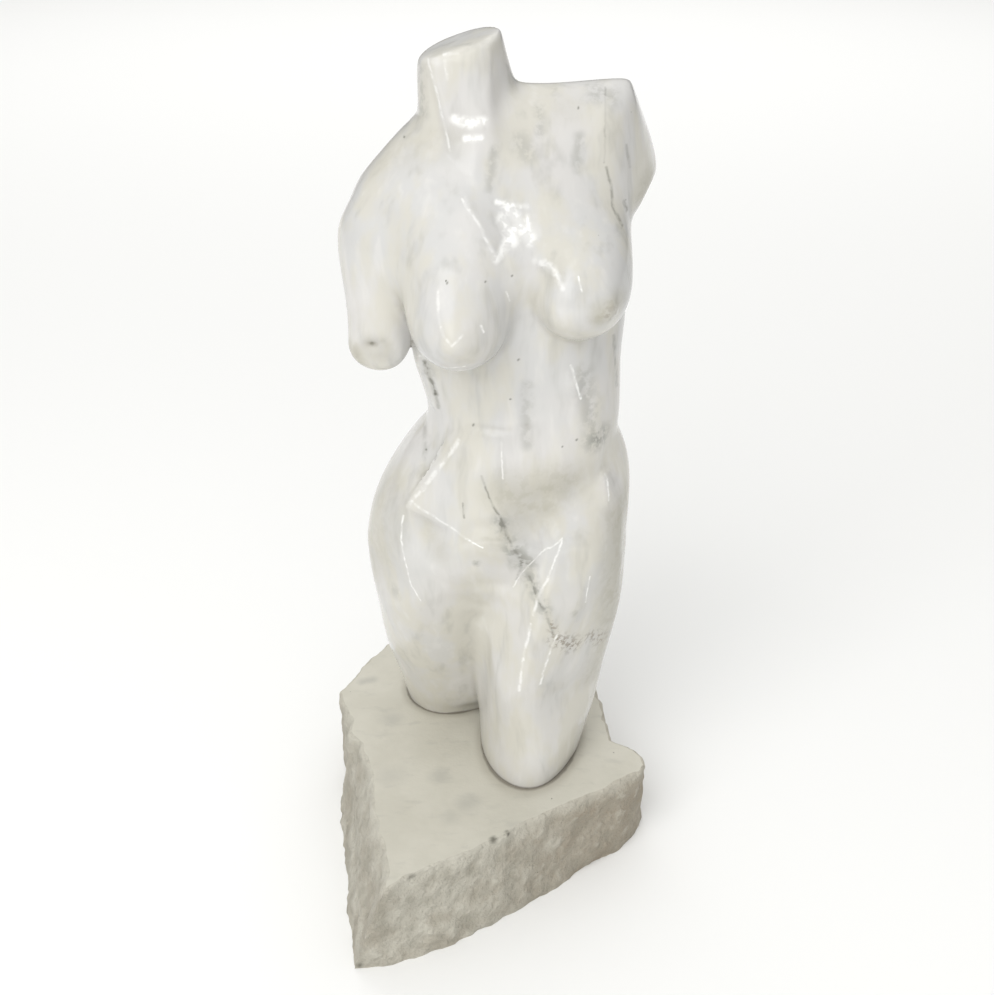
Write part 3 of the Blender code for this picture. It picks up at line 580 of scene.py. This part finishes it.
def carved_stone(materials):
    """Plinth, figure and rear stone united in one closed mesh."""
    points, faces = plinth_mesh(PLINTH_STEP, PLINTH_RINGS, EDGE_STEPS)
    finish = np.full(len(faces), HEWN)
    finish[-1] = HONED
    whole = form("whole", points, faces, materials, finish)
    points, faces = surface(figure, *FIGURE_BOX, FIGURE_STEP, 3)
    forms = [form("figure_form", points, faces, materials, POLISHED)]
    points, faces = surface(rock, *ROCK_BOX, ROCK_STEP, 1)
    forms.append(form("rock_form", points, faces, materials, HEWN))
    for other in forms:
        joined = whole.modifiers.new(other.name, "BOOLEAN")
        joined.operation = "UNION"
        joined.solver = "EXACT"
        joined.object = other
    view = bpy.context.evaluated_depsgraph_get()
    mesh = bpy.data.meshes.new_from_object(whole.evaluated_get(view))
    for item in forms+[whole]:
        bpy.data.objects.remove(item)
    mesh.shade_smooth()
    mesh.set_sharp_from_angle(angle=radians(CREASE_ANGLE))
    for face in mesh.polygons:
        face.use_smooth = face.material_index != HONED
    torso = put("marble_torso", mesh)
    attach(torso, "root")
    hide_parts("torso_with_plinth")


# ------------------------------------------------------------------ shader tools
class Graph:
    """Short ways of adding nodes to one tree."""

    def __init__(self, tree):
        self.tree = tree

    def add(self, kind, feeds=(), **settings):
        node = self.tree.nodes.new(kind)
        for key, value in settings.items():
            setattr(node, key, value)
        for key, value in dict(feeds).items():
            self.feed(node.inputs[key], value)
        return node

    def feed(self, socket, value):
        if isinstance(value, bpy.types.NodeSocket):
            self.tree.links.new(value, socket)
        else:
            socket.default_value = value

    def math(self, operation, a, b):
        return self.add("ShaderNodeMath", {0: a, 1: b}, operation=operation).outputs[0]

    def vector(self, operation, a, b=(0.0, 0.0, 0.0)):
        node = self.add("ShaderNodeVectorMath", {0: a, 1: b}, operation=operation)
        return node.outputs["Value" if operation in ("DOT_PRODUCT", "LENGTH") else "Vector"]

    def part(self, p, axis):
        """One coordinate of p: X, Y or Z."""
        return self.add("ShaderNodeSeparateXYZ", {0: p}).outputs[axis]

    def noise(self, p, scale, detail=2.0, rough=0.5, colour=False):
        feeds = {"Vector": p, "Scale": scale, "Detail": detail, "Roughness": rough}
        return self.add("ShaderNodeTexNoise", feeds).outputs["Color" if colour else "Fac"]

    def span(self, value, low, high, at_low=0.0, at_high=1.0):
        """Ease from one value to another while value goes from low to high."""
        feeds = {"Value": value, "From Min": low, "From Max": high, "To Min": at_low, "To Max": at_high}
        return self.add("ShaderNodeMapRange", feeds, interpolation_type="SMOOTHSTEP").outputs["Result"]

    def mix(self, factor, a, b):
        node = self.add("ShaderNodeMix", data_type="RGBA")
        self.feed(node.inputs[0], factor)
        self.feed(node.inputs[6], a)
        self.feed(node.inputs[7], b)
        return node.outputs[2]

    def stretch(self, p, scale):
        return self.vector("MULTIPLY", p, scale)

    def warp(self, p, scale, reach):
        """p pushed about by up to reach metres, in lumps of 1/scale metres."""
        push = self.vector("SUBTRACT", self.noise(p, scale, 3.0, 0.6, True), (0.5, 0.5, 0.5))
        return self.vector("ADD", p, self.vector("MULTIPLY", push, (2*reach, 2*reach, 2*reach)))


def line_group():
    """How near P lies to the line from A along Run: 1 on it, fading to 0 at the distance Width.
    Share is Run divided by the square of its length."""
    tree = bpy.data.node_groups.new("near_line", "ShaderNodeTree")
    sockets = (("P", "Vector"), ("A", "Vector"), ("Run", "Vector"), ("Share", "Vector"), ("Width", "Float"))
    for name, kind in sockets:
        tree.interface.new_socket(name, in_out="INPUT", socket_type="NodeSocket"+kind)
    tree.interface.new_socket("Near", in_out="OUTPUT", socket_type="NodeSocketFloat")
    g = Graph(tree)
    given = tree.nodes.new("NodeGroupInput").outputs
    result = tree.nodes.new("NodeGroupOutput").inputs
    away = g.vector("SUBTRACT", given["P"], given["A"])
    share = g.add("ShaderNodeClamp", {0: g.vector("DOT_PRODUCT", away, given["Share"])}).outputs[0]
    foot = g.add("ShaderNodeVectorMath", {0: given["Run"], "Scale": share}, operation="SCALE").outputs[0]
    gap = g.vector("LENGTH", g.vector("SUBTRACT", away, foot))
    tree.links.new(g.span(gap, 0.0, given["Width"], 1.0, 0.0), result["Near"])
    return tree


SPOT_LENGTH = 0.0002      # a spot is a very short line


def spots(places, scale, strength):
    """Lists of places and widths as marks; scale widens them all."""
    return [([place], scale*width, strength) for place, width in places]


def marks(g, group, p, lines):
    """The strongest at p of several lines or spots; each is its points, width and strength."""
    total = 0.0
    for points, width, strength in lines:
        if len(points) == 1:
            points = [points[0], tuple(c+SPOT_LENGTH for c in points[0])]
        for a, b in zip(points[:-1], points[1:]):
            run = Vector(b)-Vector(a)
            node = g.add("ShaderNodeGroup", node_tree=group)
            feeds = (("P", p), ("A", a), ("Run", run), ("Share", run/run.length_squared), ("Width", width))
            for key, value in feeds:
                g.feed(node.inputs[key], value)
            total = g.math("MAXIMUM", total, g.math("MULTIPLY", node.outputs[0], strength))
    return total


# ------------------------------------------------------------------ marble
WHITE = (0.640, 0.626, 0.606, 1)
PALE = (0.740, 0.725, 0.695, 1)
COOL = (0.600, 0.596, 0.584, 1)
CREAM = (0.622, 0.602, 0.535, 1)
# olive tone of the stone, also used for painted shade
OLIVE_TONE_AND_SHADE = (0.440, 0.420, 0.350, 1)
GREY = (0.335, 0.332, 0.300, 1)
DARK = (0.125, 0.120, 0.095, 1)
BROWN = (0.230, 0.190, 0.140, 1)
# colour of the painted highlights
HIGHLIGHT_WHITE = (0.930, 0.925, 0.905, 1)
FOLD_SHADE = (0.300, 0.280, 0.230, 1)     # painted shade in the figure's folds
SEAM_SHADE = (0.120, 0.100, 0.075, 1)     # painted shade where the legs meet the plinth
SEAM_SHADE_REACH = (0.0002, 0.0028)       # it fades out this far above the plinth
CONTACT_SHADE = (0.300, 0.270, 0.210, 1)     # painted contact shadow, wider and weaker, round the seam
PLINTH_WHITE = (0.595, 0.574, 0.498, 1)
PLINTH_CLOUD = (0.555, 0.535, 0.460, 1)
HEWN_PALE = (0.472, 0.450, 0.384, 1)
HEWN_GREY = (0.440, 0.415, 0.350, 1)
HEWN_BROWN = (0.330, 0.285, 0.220, 1)
HEWN_HOLLOW_SHADE = (0.300, 0.280, 0.225, 1)  # painted shade in the hollows of the chisel work
FRONT_ENDS = (0.020, 0.045)     # marks on the front fade out between these depths
FLANK_ENDS = (0.045, 0.080)     # and the olive tones and painted shade between these


def at(x, z):
    """A place on the figure's front."""
    return (x, 0.0, z)


def on_top(x, y):
    """A place on the plinth's top."""
    return (x, y, 0.0)


# Each mark is its points, its width and its strength.
VEINS = [  # dark and thin
    ([at(-0.013, 0.443), at(-0.009, 0.430), at(-0.0035, 0.4165)], 0.0017, 0.55),
    ([at(-0.0035, 0.4165), at(0.0045, 0.4015), at(0.013, 0.3835)], 0.0021, 0.60),
    ([at(0.0035, 0.4005), at(0.0055, 0.398)], 0.0048, 0.60),
    ([at(0.016, 0.378), at(0.022, 0.3625), at(0.018, 0.340)], 0.0026, 0.35),
    ([at(0.0295, 0.346), at(0.035, 0.331), at(0.043, 0.3165)], 0.0026, 0.42),
    ([at(0.043, 0.3165), at(0.051, 0.2895)], 0.0022, 0.36),
    ([at(-0.030, 0.415), at(-0.029, 0.402)], 0.0014, 0.50),
    ([at(-0.061, 0.536), at(-0.057, 0.524), at(-0.053, 0.509)], 0.0044, 0.75),
    ([at(-0.053, 0.509), at(-0.050, 0.494)], 0.0024, 0.35),
    ([at(0.0855, 0.754), at(0.085, 0.733), at(0.085, 0.7025)], 0.0015, 0.30),
    ([at(0.087, 0.698), at(0.0905, 0.685), at(0.093, 0.669), at(0.1005, 0.6545)], 0.0020, 0.50),
    ([at(0.103, 0.712), at(0.107, 0.695)], 0.0020, 0.30),
    ([at(0.103, 0.6695), at(0.106, 0.661)], 0.0028, 0.55),
    ([at(0.0975, 0.560), at(0.101, 0.534), at(0.1045, 0.508)], 0.0022, 0.35)]
SMUDGES = [  # soft and grey-green
    ([at(0.003, 0.402), at(0.008, 0.394)], 0.013, 0.80),
    ([at(0.014, 0.381), at(0.024, 0.362)], 0.017, 1.00),
    ([at(0.0295, 0.346), at(0.043, 0.3165)], 0.012, 0.85),
    ([at(-0.018, 0.3595)], 0.0060, 1.00),
    ([at(0.0865, 0.470)], 0.019, 1.00),
    ([at(0.072, 0.534), at(0.079, 0.501), at(0.082, 0.475)], 0.015, 0.50),
    ([at(0.025, 0.526), at(0.0255, 0.472)], 0.009, 0.40),
    ([at(-0.059, 0.530)], 0.013, 0.55),
    ([at(-0.060, 0.769), at(-0.059, 0.739)], 0.009, 0.50),
    ([at(0.019, 0.7185), at(0.024, 0.712)], 0.014, 0.45),
    ([at(0.033, 0.741), at(0.034, 0.726)], 0.008, 0.45),
    ([at(-0.003, 0.714), at(-0.0055, 0.689)], 0.007, 0.45),
    ([at(-0.0645, 0.466), at(-0.064, 0.4435)], 0.004, 0.40),
    ([at(-0.096, 0.303)], 0.012, 0.40),
    ([at(0.077, 0.751), at(0.091, 0.7475)], 0.012, 0.50),
    ([at(0.0645, 0.722), at(0.0640, 0.700)], 0.008, 0.45),
    ([at(0.071, 0.309)], 0.007, 0.45)]
STAINS = [  # brownish, on the left thigh and breast
    ([at(0.055, 0.2815), at(0.064, 0.274), at(0.072, 0.264)], 0.015, 0.75),
    ([at(0.088, 0.602)], 0.011, 0.45),
    ([at(0.088, 0.266), at(0.097, 0.2565), at(0.099, 0.249)], 0.012, 0.60),
    ([at(0.052, 0.292), at(0.049, 0.301)], 0.008, 0.60)]
TONES_AND_PAINTED_SHADE = [  # wide; the olive tone of the stone, and painted shade where noted
    ([at(0.007, 0.429), at(0.029, 0.428), at(0.0565, 0.435)], 0.034, 0.85),
    ([at(0.012, 0.415), at(0.040, 0.412)], 0.028, 0.80),
    ([at(0.020, 0.402), at(0.0025, 0.3915)], 0.024, 0.60),
    ([at(0.081, 0.601), at(0.0915, 0.606)], 0.017, 1.00),
    # painted shadow under the left breast
    ([at(0.062, 0.5705), at(0.079, 0.571)], 0.010, 0.80),
    # painted shade above the collar line of the right shoulder, where a reflection ends
    ([at(-0.105, 0.697), at(-0.070, 0.711), at(-0.034, 0.722)], 0.022, 0.35),
    ([at(-0.1215, 0.551), at(-0.118, 0.533)], 0.012, 0.80),
    # painted shade, with an olive tone, on the end of the broken right arm
    ([at(-0.105, 0.5535), at(-0.094, 0.550)], 0.018, 0.55),
    ([at(0.050, 0.740), at(0.061, 0.740)], 0.018, 0.30),
    ([at(0.130, 0.680), at(0.123, 0.666)], 0.018, 0.85),
    # painted shade on the right hip
    ([at(-0.112, 0.330), at(-0.104, 0.410)], 0.034, 0.50),
    # painted shade on the facet of the right thigh below the groin
    ([at(-0.066, 0.393), at(-0.0495, 0.361)], 0.018, 0.40),
    ([at(0.110, 0.268), at(0.092, 0.200)], 0.022, 0.70),
    # painted shade down the left hip and thigh, with its olive tone
    ([at(0.112, 0.396), at(0.109, 0.300), at(0.110, 0.274)], 0.029, 1.00)]
PAINTED_HIGHLIGHTS = [  # painted highlights on the edges of the facets, and painted glare on breast bone and throat
    ([at(-0.077, 0.407), at(-0.0635, 0.425), at(-0.050, 0.445), at(-0.0325, 0.470)], 0.0030, 0.55),
    ([at(-0.0725, 0.407), at(-0.0505, 0.3955), at(-0.028, 0.385)], 0.0020, 0.45),
    ([at(-0.028, 0.385), at(-0.0125, 0.379)], 0.0013, 0.95),
    ([at(-0.084, 0.393), at(-0.087, 0.368), at(-0.0845, 0.3535)], 0.0016, 0.70),
    ([at(-0.0845, 0.3535), at(-0.0785, 0.321), at(-0.0705, 0.306)], 0.0013, 0.75),
    ([at(0.0565, 0.390), at(0.038, 0.3725), at(0.0265, 0.357), at(0.0145, 0.3315)], 0.0012, 0.60),
    ([at(0.0565, 0.3885), at(0.0515, 0.3735), at(0.046, 0.3535)], 0.0014, 0.70),
    ([at(0.046, 0.3535), at(0.036, 0.3265), at(0.0325, 0.3105)], 0.0020, 0.62),
    ([at(0.031, 0.2995), at(0.025, 0.2665), at(0.0205, 0.221)], 0.0022, 0.68),
    ([at(0.083, 0.349), at(0.081, 0.331), at(0.080, 0.3195)], 0.0013, 0.90),
    ([at(0.055, 0.288), at(0.047, 0.262), at(0.0405, 0.227)], 0.0018, 0.75),
    ([at(0.0955, 0.433), at(0.098, 0.4275), at(0.0985, 0.4135)], 0.0015, 1.00),
    ([at(0.004, 0.4745), at(0.005, 0.442)], 0.0014, 0.50),
    ([at(0.0615, 0.543), at(0.065, 0.531), at(0.071, 0.510)], 0.0018, 1.00),
    ([at(-0.0455, 0.622), at(-0.0455, 0.608), at(-0.042, 0.5905), at(-0.035, 0.584)], 0.0022, 0.45),
    ([at(-0.035, 0.584), at(-0.027, 0.5915)], 0.0018, 0.45),
    ([at(-0.0125, 0.596), at(-0.011, 0.5905)], 0.0014, 1.00),
    ([at(0.007, 0.616), at(0.010, 0.6075)], 0.0014, 1.00),
    ([at(0.0295, 0.637), at(0.038, 0.639), at(0.0445, 0.636), at(0.0505, 0.621)], 0.0036, 0.45),
    ([at(0.0635, 0.6295), at(0.0665, 0.620)], 0.0013, 0.90),
    ([at(-0.053, 0.7785), at(-0.047, 0.7575), at(-0.042, 0.735), at(-0.0365, 0.714)], 0.0018, 0.50),
    ([at(-0.041, 0.783), at(-0.0295, 0.7845)], 0.0016, 0.60),
    ([at(-0.0265, 0.683), at(-0.0145, 0.668), at(-0.004, 0.6505), at(0.0025, 0.642)], 0.0018, 0.55),
    ([at(0.000, 0.679), at(0.014, 0.6765), at(0.024, 0.675)], 0.0030, 0.90),
    ([at(0.009, 0.674), at(0.016, 0.665), at(0.0255, 0.654)], 0.0085, 1.00),
    ([at(0.0155, 0.664), at(0.006, 0.650), at(0.000, 0.643)], 0.0060, 1.00),
    ([at(0.004, 0.668), at(0.012, 0.653)], 0.0075, 0.90),
    ([at(0.024, 0.669), at(0.026, 0.652)], 0.0030, 0.90),
    ([at(-0.0325, 0.7370), at(-0.021, 0.7350), at(-0.010, 0.7360)], 0.0062, 1.00),
    ([at(-0.0245, 0.7235), at(-0.0125, 0.7245)], 0.0044, 0.95),
    ([at(-0.040, 0.779), at(-0.038, 0.766)], 0.0020, 0.55),
    ([at(-0.069, 0.5375), at(-0.0455, 0.556), at(-0.0255, 0.560)], 0.0012, 0.70)]
DOTS = [  # small dark inclusions: place, width
    (at(-0.0385, 0.628), 0.0016), (at(-0.009, 0.627), 0.0016), (at(0.012, 0.628), 0.0014),
    (at(0.064, 0.741), 0.0014), (at(-0.074, 0.718), 0.0014), (at(-0.0205, 0.486), 0.0018),
    (at(0.011, 0.513), 0.0014), (at(0.068, 0.474), 0.0018), (at(0.056, 0.469), 0.0016),
    (at(-0.1045, 0.5560), 0.0028), (at(-0.063, 0.450), 0.0014), (at(0.018, 0.550), 0.0020),
    (at(-0.0535, 0.509), 0.0020)]
TOP_SMUDGES = [  # on the plinth's top, its points as x, y
    ([on_top(-0.148, 0.096), on_top(-0.138, 0.099)], 0.011, 0.45), ([on_top(-0.112, 0.030)], 0.020, 0.35),
    ([on_top(-0.056, -0.060)], 0.018, 0.40), ([on_top(-0.028, -0.098)], 0.020, 0.40),
    ([on_top(-0.106, -0.060)], 0.026, 0.22), ([on_top(-0.044, -0.118)], 0.016, 0.28)]
CHIPS = [  # dark bruises on the plinth's front edge, as x, y, z
    ((-0.0035, -0.147, 0.099), 0.0032), ((0.018, -0.134, 0.099), 0.0026), ((0.010, -0.138, 0.098), 0.0022),
    ((0.022, -0.131, 0.099), 0.0020), ((-0.078, -0.193, 0.098), 0.0026), ((-0.128, -0.212, 0.004), 0.0030)]


def stone_colour(g, p):
    """Base colour of the stone, before its marks: clouds, patches and soft upright streaks; the
    stone is creamier towards the foot."""
    cloud = g.noise(p, 9.0, 3.0, 0.55)
    colour = g.mix(g.span(cloud, 0.40, 0.60), WHITE, COOL)
    patch = g.noise(g.vector("ADD", g.stretch(p, (26.0, 26.0, 12.0)), (3.1, 1.7, 5.3)), 1.0, 3.0, 0.6)
    height = g.part(p, "Z")
    creamy = g.math("ADD", g.span(patch, 0.42, 0.62, 0.0, 0.85), g.span(height, 0.20, 0.50, 0.30, 0.0))
    colour = g.mix(g.math("MINIMUM", creamy, 1.0), colour, CREAM)
    lean = g.warp(p, 9.0, 0.012)
    streak = g.noise(g.stretch(lean, (60.0, 60.0, 12.0)), 1.0, 3.0, 0.55)
    colour = g.mix(g.span(streak, 0.50, 0.78, 0.0, 0.36), colour, GREY)
    return g.mix(g.span(streak, 0.28, 0.46, 0.35, 0.0), colour, PALE)


def speckled(g, p, colour):
    """Fine dark grains, here and there."""
    grains = g.add("ShaderNodeTexVoronoi", {"Vector": g.warp(p, 60.0, 0.004), "Scale": 75.0})
    chance = g.add("ShaderNodeSeparateColor", {0: grains.outputs["Color"]}).outputs[0]
    radius = g.span(chance, 0.90, 1.0, 0.0, 0.085)
    grain = g.span(g.math("SUBTRACT", radius, grains.outputs["Distance"]), 0.0, 0.03, 0.0, 0.75)
    return g.mix(grain, colour, DARK)


def start_material(name):
    """A new material, its graph, the place in the coordinates used here, and its shader."""
    material = bpy.data.materials.new(name)
    material.use_nodes = True
    g = Graph(material.node_tree)
    place = g.add("ShaderNodeTexCoord").outputs["Object"]
    p = g.vector("ADD", place, (CENTRE[0], CENTRE[1], 0.0))
    shader = material.node_tree.nodes["Principled BSDF"]
    shader.inputs["IOR"].default_value = 1.52
    return material, g, p, shader


def bumps(g, shader, height, distance):
    """Relief finer than the mesh; height is in units of distance, in metres."""
    node = g.add("ShaderNodeBump", {"Height": height, "Distance": distance, "Strength": 1.0})
    g.feed(shader.inputs["Normal"], node.outputs["Normal"])


def polished_marble(group):
    """The figure: glossy and pale, its marks painted from the front, painted highlights and painted shade
    among them; group is near_line.
    """
    material, g, p, shader = start_material("marble_polished")
    colour = stone_colour(g, p)
    fine = g.warp(g.warp(p, 60.0, 0.0020), 190.0, 0.0005)
    front = g.stretch(fine, (1.0, 0.0, 1.0))
    depth = g.part(p, "Y")
    facing = g.span(depth, *FRONT_ENDS, 1.0, 0.0)
    wider = g.span(depth, *FLANK_ENDS, 1.0, 0.0)
    rough = g.span(g.noise(p, 110.0, 2.0, 0.6), 0.40, 0.60)
    blotchy = g.span(g.noise(p, 105.0, 3.0, 0.60), 0.42, 0.64)
    soft = g.span(g.noise(p, 110.0, 3.0, 0.60), 0.38, 0.62)
    grainy = g.span(g.noise(p, 240.0, 2.0, 0.5), 0.46, 0.60)
    # the first layer is olive tone with painted shade, the last is painted highlights
    layers = ((TONES_AND_PAINTED_SHADE, OLIVE_TONE_AND_SHADE, blotchy, 0.75), (SMUDGES, GREY, soft, 0.30), (STAINS, BROWN, grainy, 0.10),
              (VEINS, DARK, rough, 0.40), (spots(DOTS, 1.0, 0.7), DARK, rough, 1.0),
              (PAINTED_HIGHLIGHTS, HIGHLIGHT_WHITE, rough, 0.30))
    for lines, tint, texture, least in layers:
        reach = wider if lines is TONES_AND_PAINTED_SHADE else facing
        share = g.math("MULTIPLY", marks(g, group, front, lines), reach)
        colour = g.mix(g.math("MULTIPLY", share, g.span(texture, 0.0, 1.0, least, 1.0)), colour, tint)
    colour = speckled(g, p, colour)
    # painted highlight on sharp convex edges and painted shade in concave folds, from the mesh's pointiness
    edge = g.add("ShaderNodeNewGeometry").outputs["Pointiness"]
    colour = g.mix(g.span(edge, 0.510, 0.580, 0.0, 0.40), colour, HIGHLIGHT_WHITE)
    colour = g.mix(g.span(edge, 0.495, 0.440, 0.0, 0.50), colour, FOLD_SHADE)
    # painted shade at the foot of the legs, where they meet the plinth
    above = [BASE_TOP+reach for reach in SEAM_SHADE_REACH]
    colour = g.mix(g.span(g.part(fine, "Z"), *above, 0.60, 0.0), colour, SEAM_SHADE)
    g.feed(shader.inputs["Base Color"], colour)
    g.feed(shader.inputs["Roughness"], g.span(g.noise(p, 45.0, 3.0), 0.35, 0.65, 0.08, 0.15))
    bumps(g, shader, g.noise(p, 38.0, 2.0), 0.0004)
    return material


# Outlines at the plinth's top: centre, lean, half width, front and back depth. The lean is how far
# the outline shifts sideways for each metre from front to back.
LEFT_FOOT = ((0.0352, 0.010), 0.070, 0.0505, 0.0880, 0.051)
RIGHT_FOOT = ((-0.0515, 0.086), 0.0, 0.0470, 0.0475, 0.051)


def leg_outline(g, p, centre, lean, half, front, back):
    """1 on the outline of a leg at the plinth's top, less inside and more outside."""
    place = g.vector("SUBTRACT", p, (centre[0], centre[1], 0.0))
    x, y = g.part(place, "X"), g.part(place, "Y")
    behind = g.math("GREATER_THAN", y, 0.0)
    depth = g.math("ADD", front, g.math("MULTIPLY", behind, back-front))
    across = g.math("DIVIDE", g.math("SUBTRACT", x, g.math("MULTIPLY", y, lean)), half)
    both = g.add("ShaderNodeCombineXYZ", {"X": across, "Y": g.math("DIVIDE", y, depth)}).outputs[0]
    return g.vector("LENGTH", both)


def honed_marble(group):
    """The plinth's top: matt, with painted shade round each leg where it meets the top."""
    material, g, p, shader = start_material("marble_honed")
    cloud = g.noise(p, 14.0, 4.0, 0.6)
    colour = g.mix(g.span(cloud, 0.38, 0.66), PLINTH_WHITE, PLINTH_CLOUD)
    streak = g.noise(g.stretch(g.warp(p, 20.0, 0.008), (30.0, 75.0, 30.0)), 1.0, 3.0, 0.6)
    colour = g.mix(g.span(streak, 0.54, 0.74, 0.0, 0.22), colour, GREY)
    fine = g.warp(g.warp(p, 35.0, 0.006), 200.0, 0.001)
    flat = g.stretch(fine, (1.0, 1.0, 0.0))
    colour = g.mix(marks(g, group, flat, TOP_SMUDGES), colour, GREY)
    # painted shade round the legs where they meet the plinth's top
    near = g.warp(p, 90.0, 0.0012)
    away = g.math("MINIMUM", leg_outline(g, near, *LEFT_FOOT), leg_outline(g, near, *RIGHT_FOOT))
    colour = g.mix(g.span(away, 1.02, 1.22, 0.35, 0.0), colour, CONTACT_SHADE)
    colour = g.mix(g.span(away, 1.00, 1.05, 0.60, 0.0), colour, SEAM_SHADE)
    colour = g.mix(marks(g, group, fine, spots(CHIPS, 2.0, 0.9)), colour, DARK)
    colour = speckled(g, p, colour)
    g.feed(shader.inputs["Base Color"], colour)
    g.feed(shader.inputs["Roughness"], g.span(cloud, 0.3, 0.7, 0.42, 0.60))
    bumps(g, shader, g.noise(p, 60.0, 4.0, 0.6), 0.0008)
    return material


def hewn_marble(group):
    """The plinth's sides and the rough stone: dull and warm, browner towards +X, paler at the top."""
    material, g, p, shader = start_material("marble_hewn")
    cloud = g.noise(p, 20.0, 4.0, 0.6)
    colour = g.mix(g.span(cloud, 0.36, 0.64), HEWN_PALE, HEWN_GREY)
    patch = g.span(g.noise(g.vector("ADD", p, (5.0, 2.0, 1.0)), 30.0, 3.0, 0.6), 0.44, 0.66)
    browner = g.span(g.part(p, "X"), -0.02, 0.12, 0.0, 0.75)
    share = g.math("ADD", g.math("MULTIPLY", patch, 0.35), browner)
    colour = g.mix(share, colour, HEWN_BROWN)
    lumps = g.noise(g.warp(p, 22.0, 0.004), 60.0, 3.0, 0.55)
    # painted shade in the hollows of the chisel relief and painted light on its raised lumps
    colour = g.mix(g.span(lumps, 0.52, 0.34, 0.0, 0.45), colour, HEWN_HOLLOW_SHADE)
    colour = g.mix(g.span(lumps, 0.52, 0.68, 0.0, 0.40), colour, PLINTH_WHITE)
    pits = g.noise(p, 130.0, 3.0, 0.6)
    colour = g.mix(g.span(pits, 0.30, 0.46, 0.18, 0.0), colour, HEWN_BROWN)
    rim = g.part(g.warp(p, 40.0, 0.012), "Z")
    colour = g.mix(g.span(rim, 0.082, 0.100, 0.0, 0.55), colour, PLINTH_WHITE)
    fine = g.warp(g.warp(p, 60.0, 0.003), 300.0, 0.001)
    colour = g.mix(marks(g, group, fine, spots(CHIPS, 2.0, 0.9)), colour, DARK)
    colour = speckled(g, p, colour)
    g.feed(shader.inputs["Base Color"], colour)
    shader.inputs["Roughness"].default_value = 0.72
    grain = g.noise(p, 260.0, 3.0, 0.6)
    height = g.math("ADD", g.math("MULTIPLY", pits, 0.7), g.math("MULTIPLY", grain, 0.12))
    height = g.math("ADD", height, g.math("MULTIPLY", lumps, 1.8))
    bumps(g, shader, height, 0.0032)
    return material


# ------------------------------------------------------------------ floor, light, camera
FLOOR_REACH = 14.0        # half the floor's width
CAMERA_BACK = 1.018       # how far in front of the figure's middle
CAMERA_HEIGHT = 0.95
CAMERA_TILT = 61          # degrees up from looking straight down
CAMERA_LENS = 45.23       # focal length in millimetres


def floor():
    """A plain pale floor, wide enough to reach past the picture."""
    mesh = bpy.data.meshes.new("floor")
    corners = [(x*FLOOR_REACH, y*FLOOR_REACH, 0) for x, y in ((-1, -1), (1, -1), (1, 1), (-1, 1))]
    mesh.from_pydata(corners, [], [(0, 1, 2, 3)])
    pale = bpy.data.materials.new("pale_floor")
    pale.use_nodes = True
    shader = pale.node_tree.nodes["Principled BSDF"]
    shader.inputs["Base Color"].default_value = (0.90, 0.90, 0.89, 1)
    shader.inputs["Roughness"].default_value = 0.9
    shader.inputs["Specular IOR Level"].default_value = 0.1
    mesh.materials.append(pale)
    put("floor", mesh)


def sky(strength):
    """Even white light from all round, a little stronger from above."""
    world = bpy.data.worlds.new("studio")
    world.use_nodes = True
    bpy.context.scene.world = world
    g = Graph(world.node_tree)
    up = g.part(g.add("ShaderNodeTexCoord").outputs["Generated"], "Z")
    shade = g.mix(g.span(up, -0.05, 0.9), (0.20, 0.20, 0.195, 1), (0.80, 0.80, 0.79, 1))
    background = world.node_tree.nodes["Background"]
    g.feed(background.inputs["Color"], shade)
    background.inputs["Strength"].default_value = strength


def softbox(name, place, aim, width, height, power, mirrored):
    """A rectangular lamp at a place, aimed at a point; mirrored says if polished stone shows it."""
    lamp = bpy.data.lights.new(name, "AREA")
    lamp.shape = "RECTANGLE"
    lamp.size = width
    lamp.size_y = height
    lamp.energy = power
    item = put(name, lamp)
    item.location = place
    item.rotation_euler = (Vector(aim)-Vector(place)).to_track_quat("-Z", "Y").to_euler()
    item.visible_glossy = mirrored


def camera():
    """A standing viewer close in front, looking down at the figure."""
    lens = bpy.data.cameras.new("camera")
    lens.lens = CAMERA_LENS
    item = put("camera", lens)
    item.location = (-CENTRE[0], -CAMERA_BACK-CENTRE[1], CAMERA_HEIGHT)
    item.rotation_euler = (radians(CAMERA_TILT), 0, 0)
    bpy.context.scene.camera = item


# ------------------------------------------------------------------ the scene
near_line = line_group()
carved_stone([polished_marble(near_line), honed_marble(near_line), hewn_marble(near_line)])
floor()
sky(1.0)
softbox("key", (-0.95, -1.85, 2.60), (0, 0, 0.60), 1.8, 1.8, 43, False)
softbox("fill", (0.10, -2.80, 0.90), (0, 0, 0.50), 2.4, 1.2, 13, False)
softbox("window", (-1.12, -1.95, 1.85), (0, 0, 0.60), 1.3, 1.0, 5, True)
softbox("background_lamp", (0, 5.0, 3.6), (0, 5.0, 0), 8.0, 6.0, 130, False)
camera()
bpy.context.scene.view_settings.view_transform = "Standard"
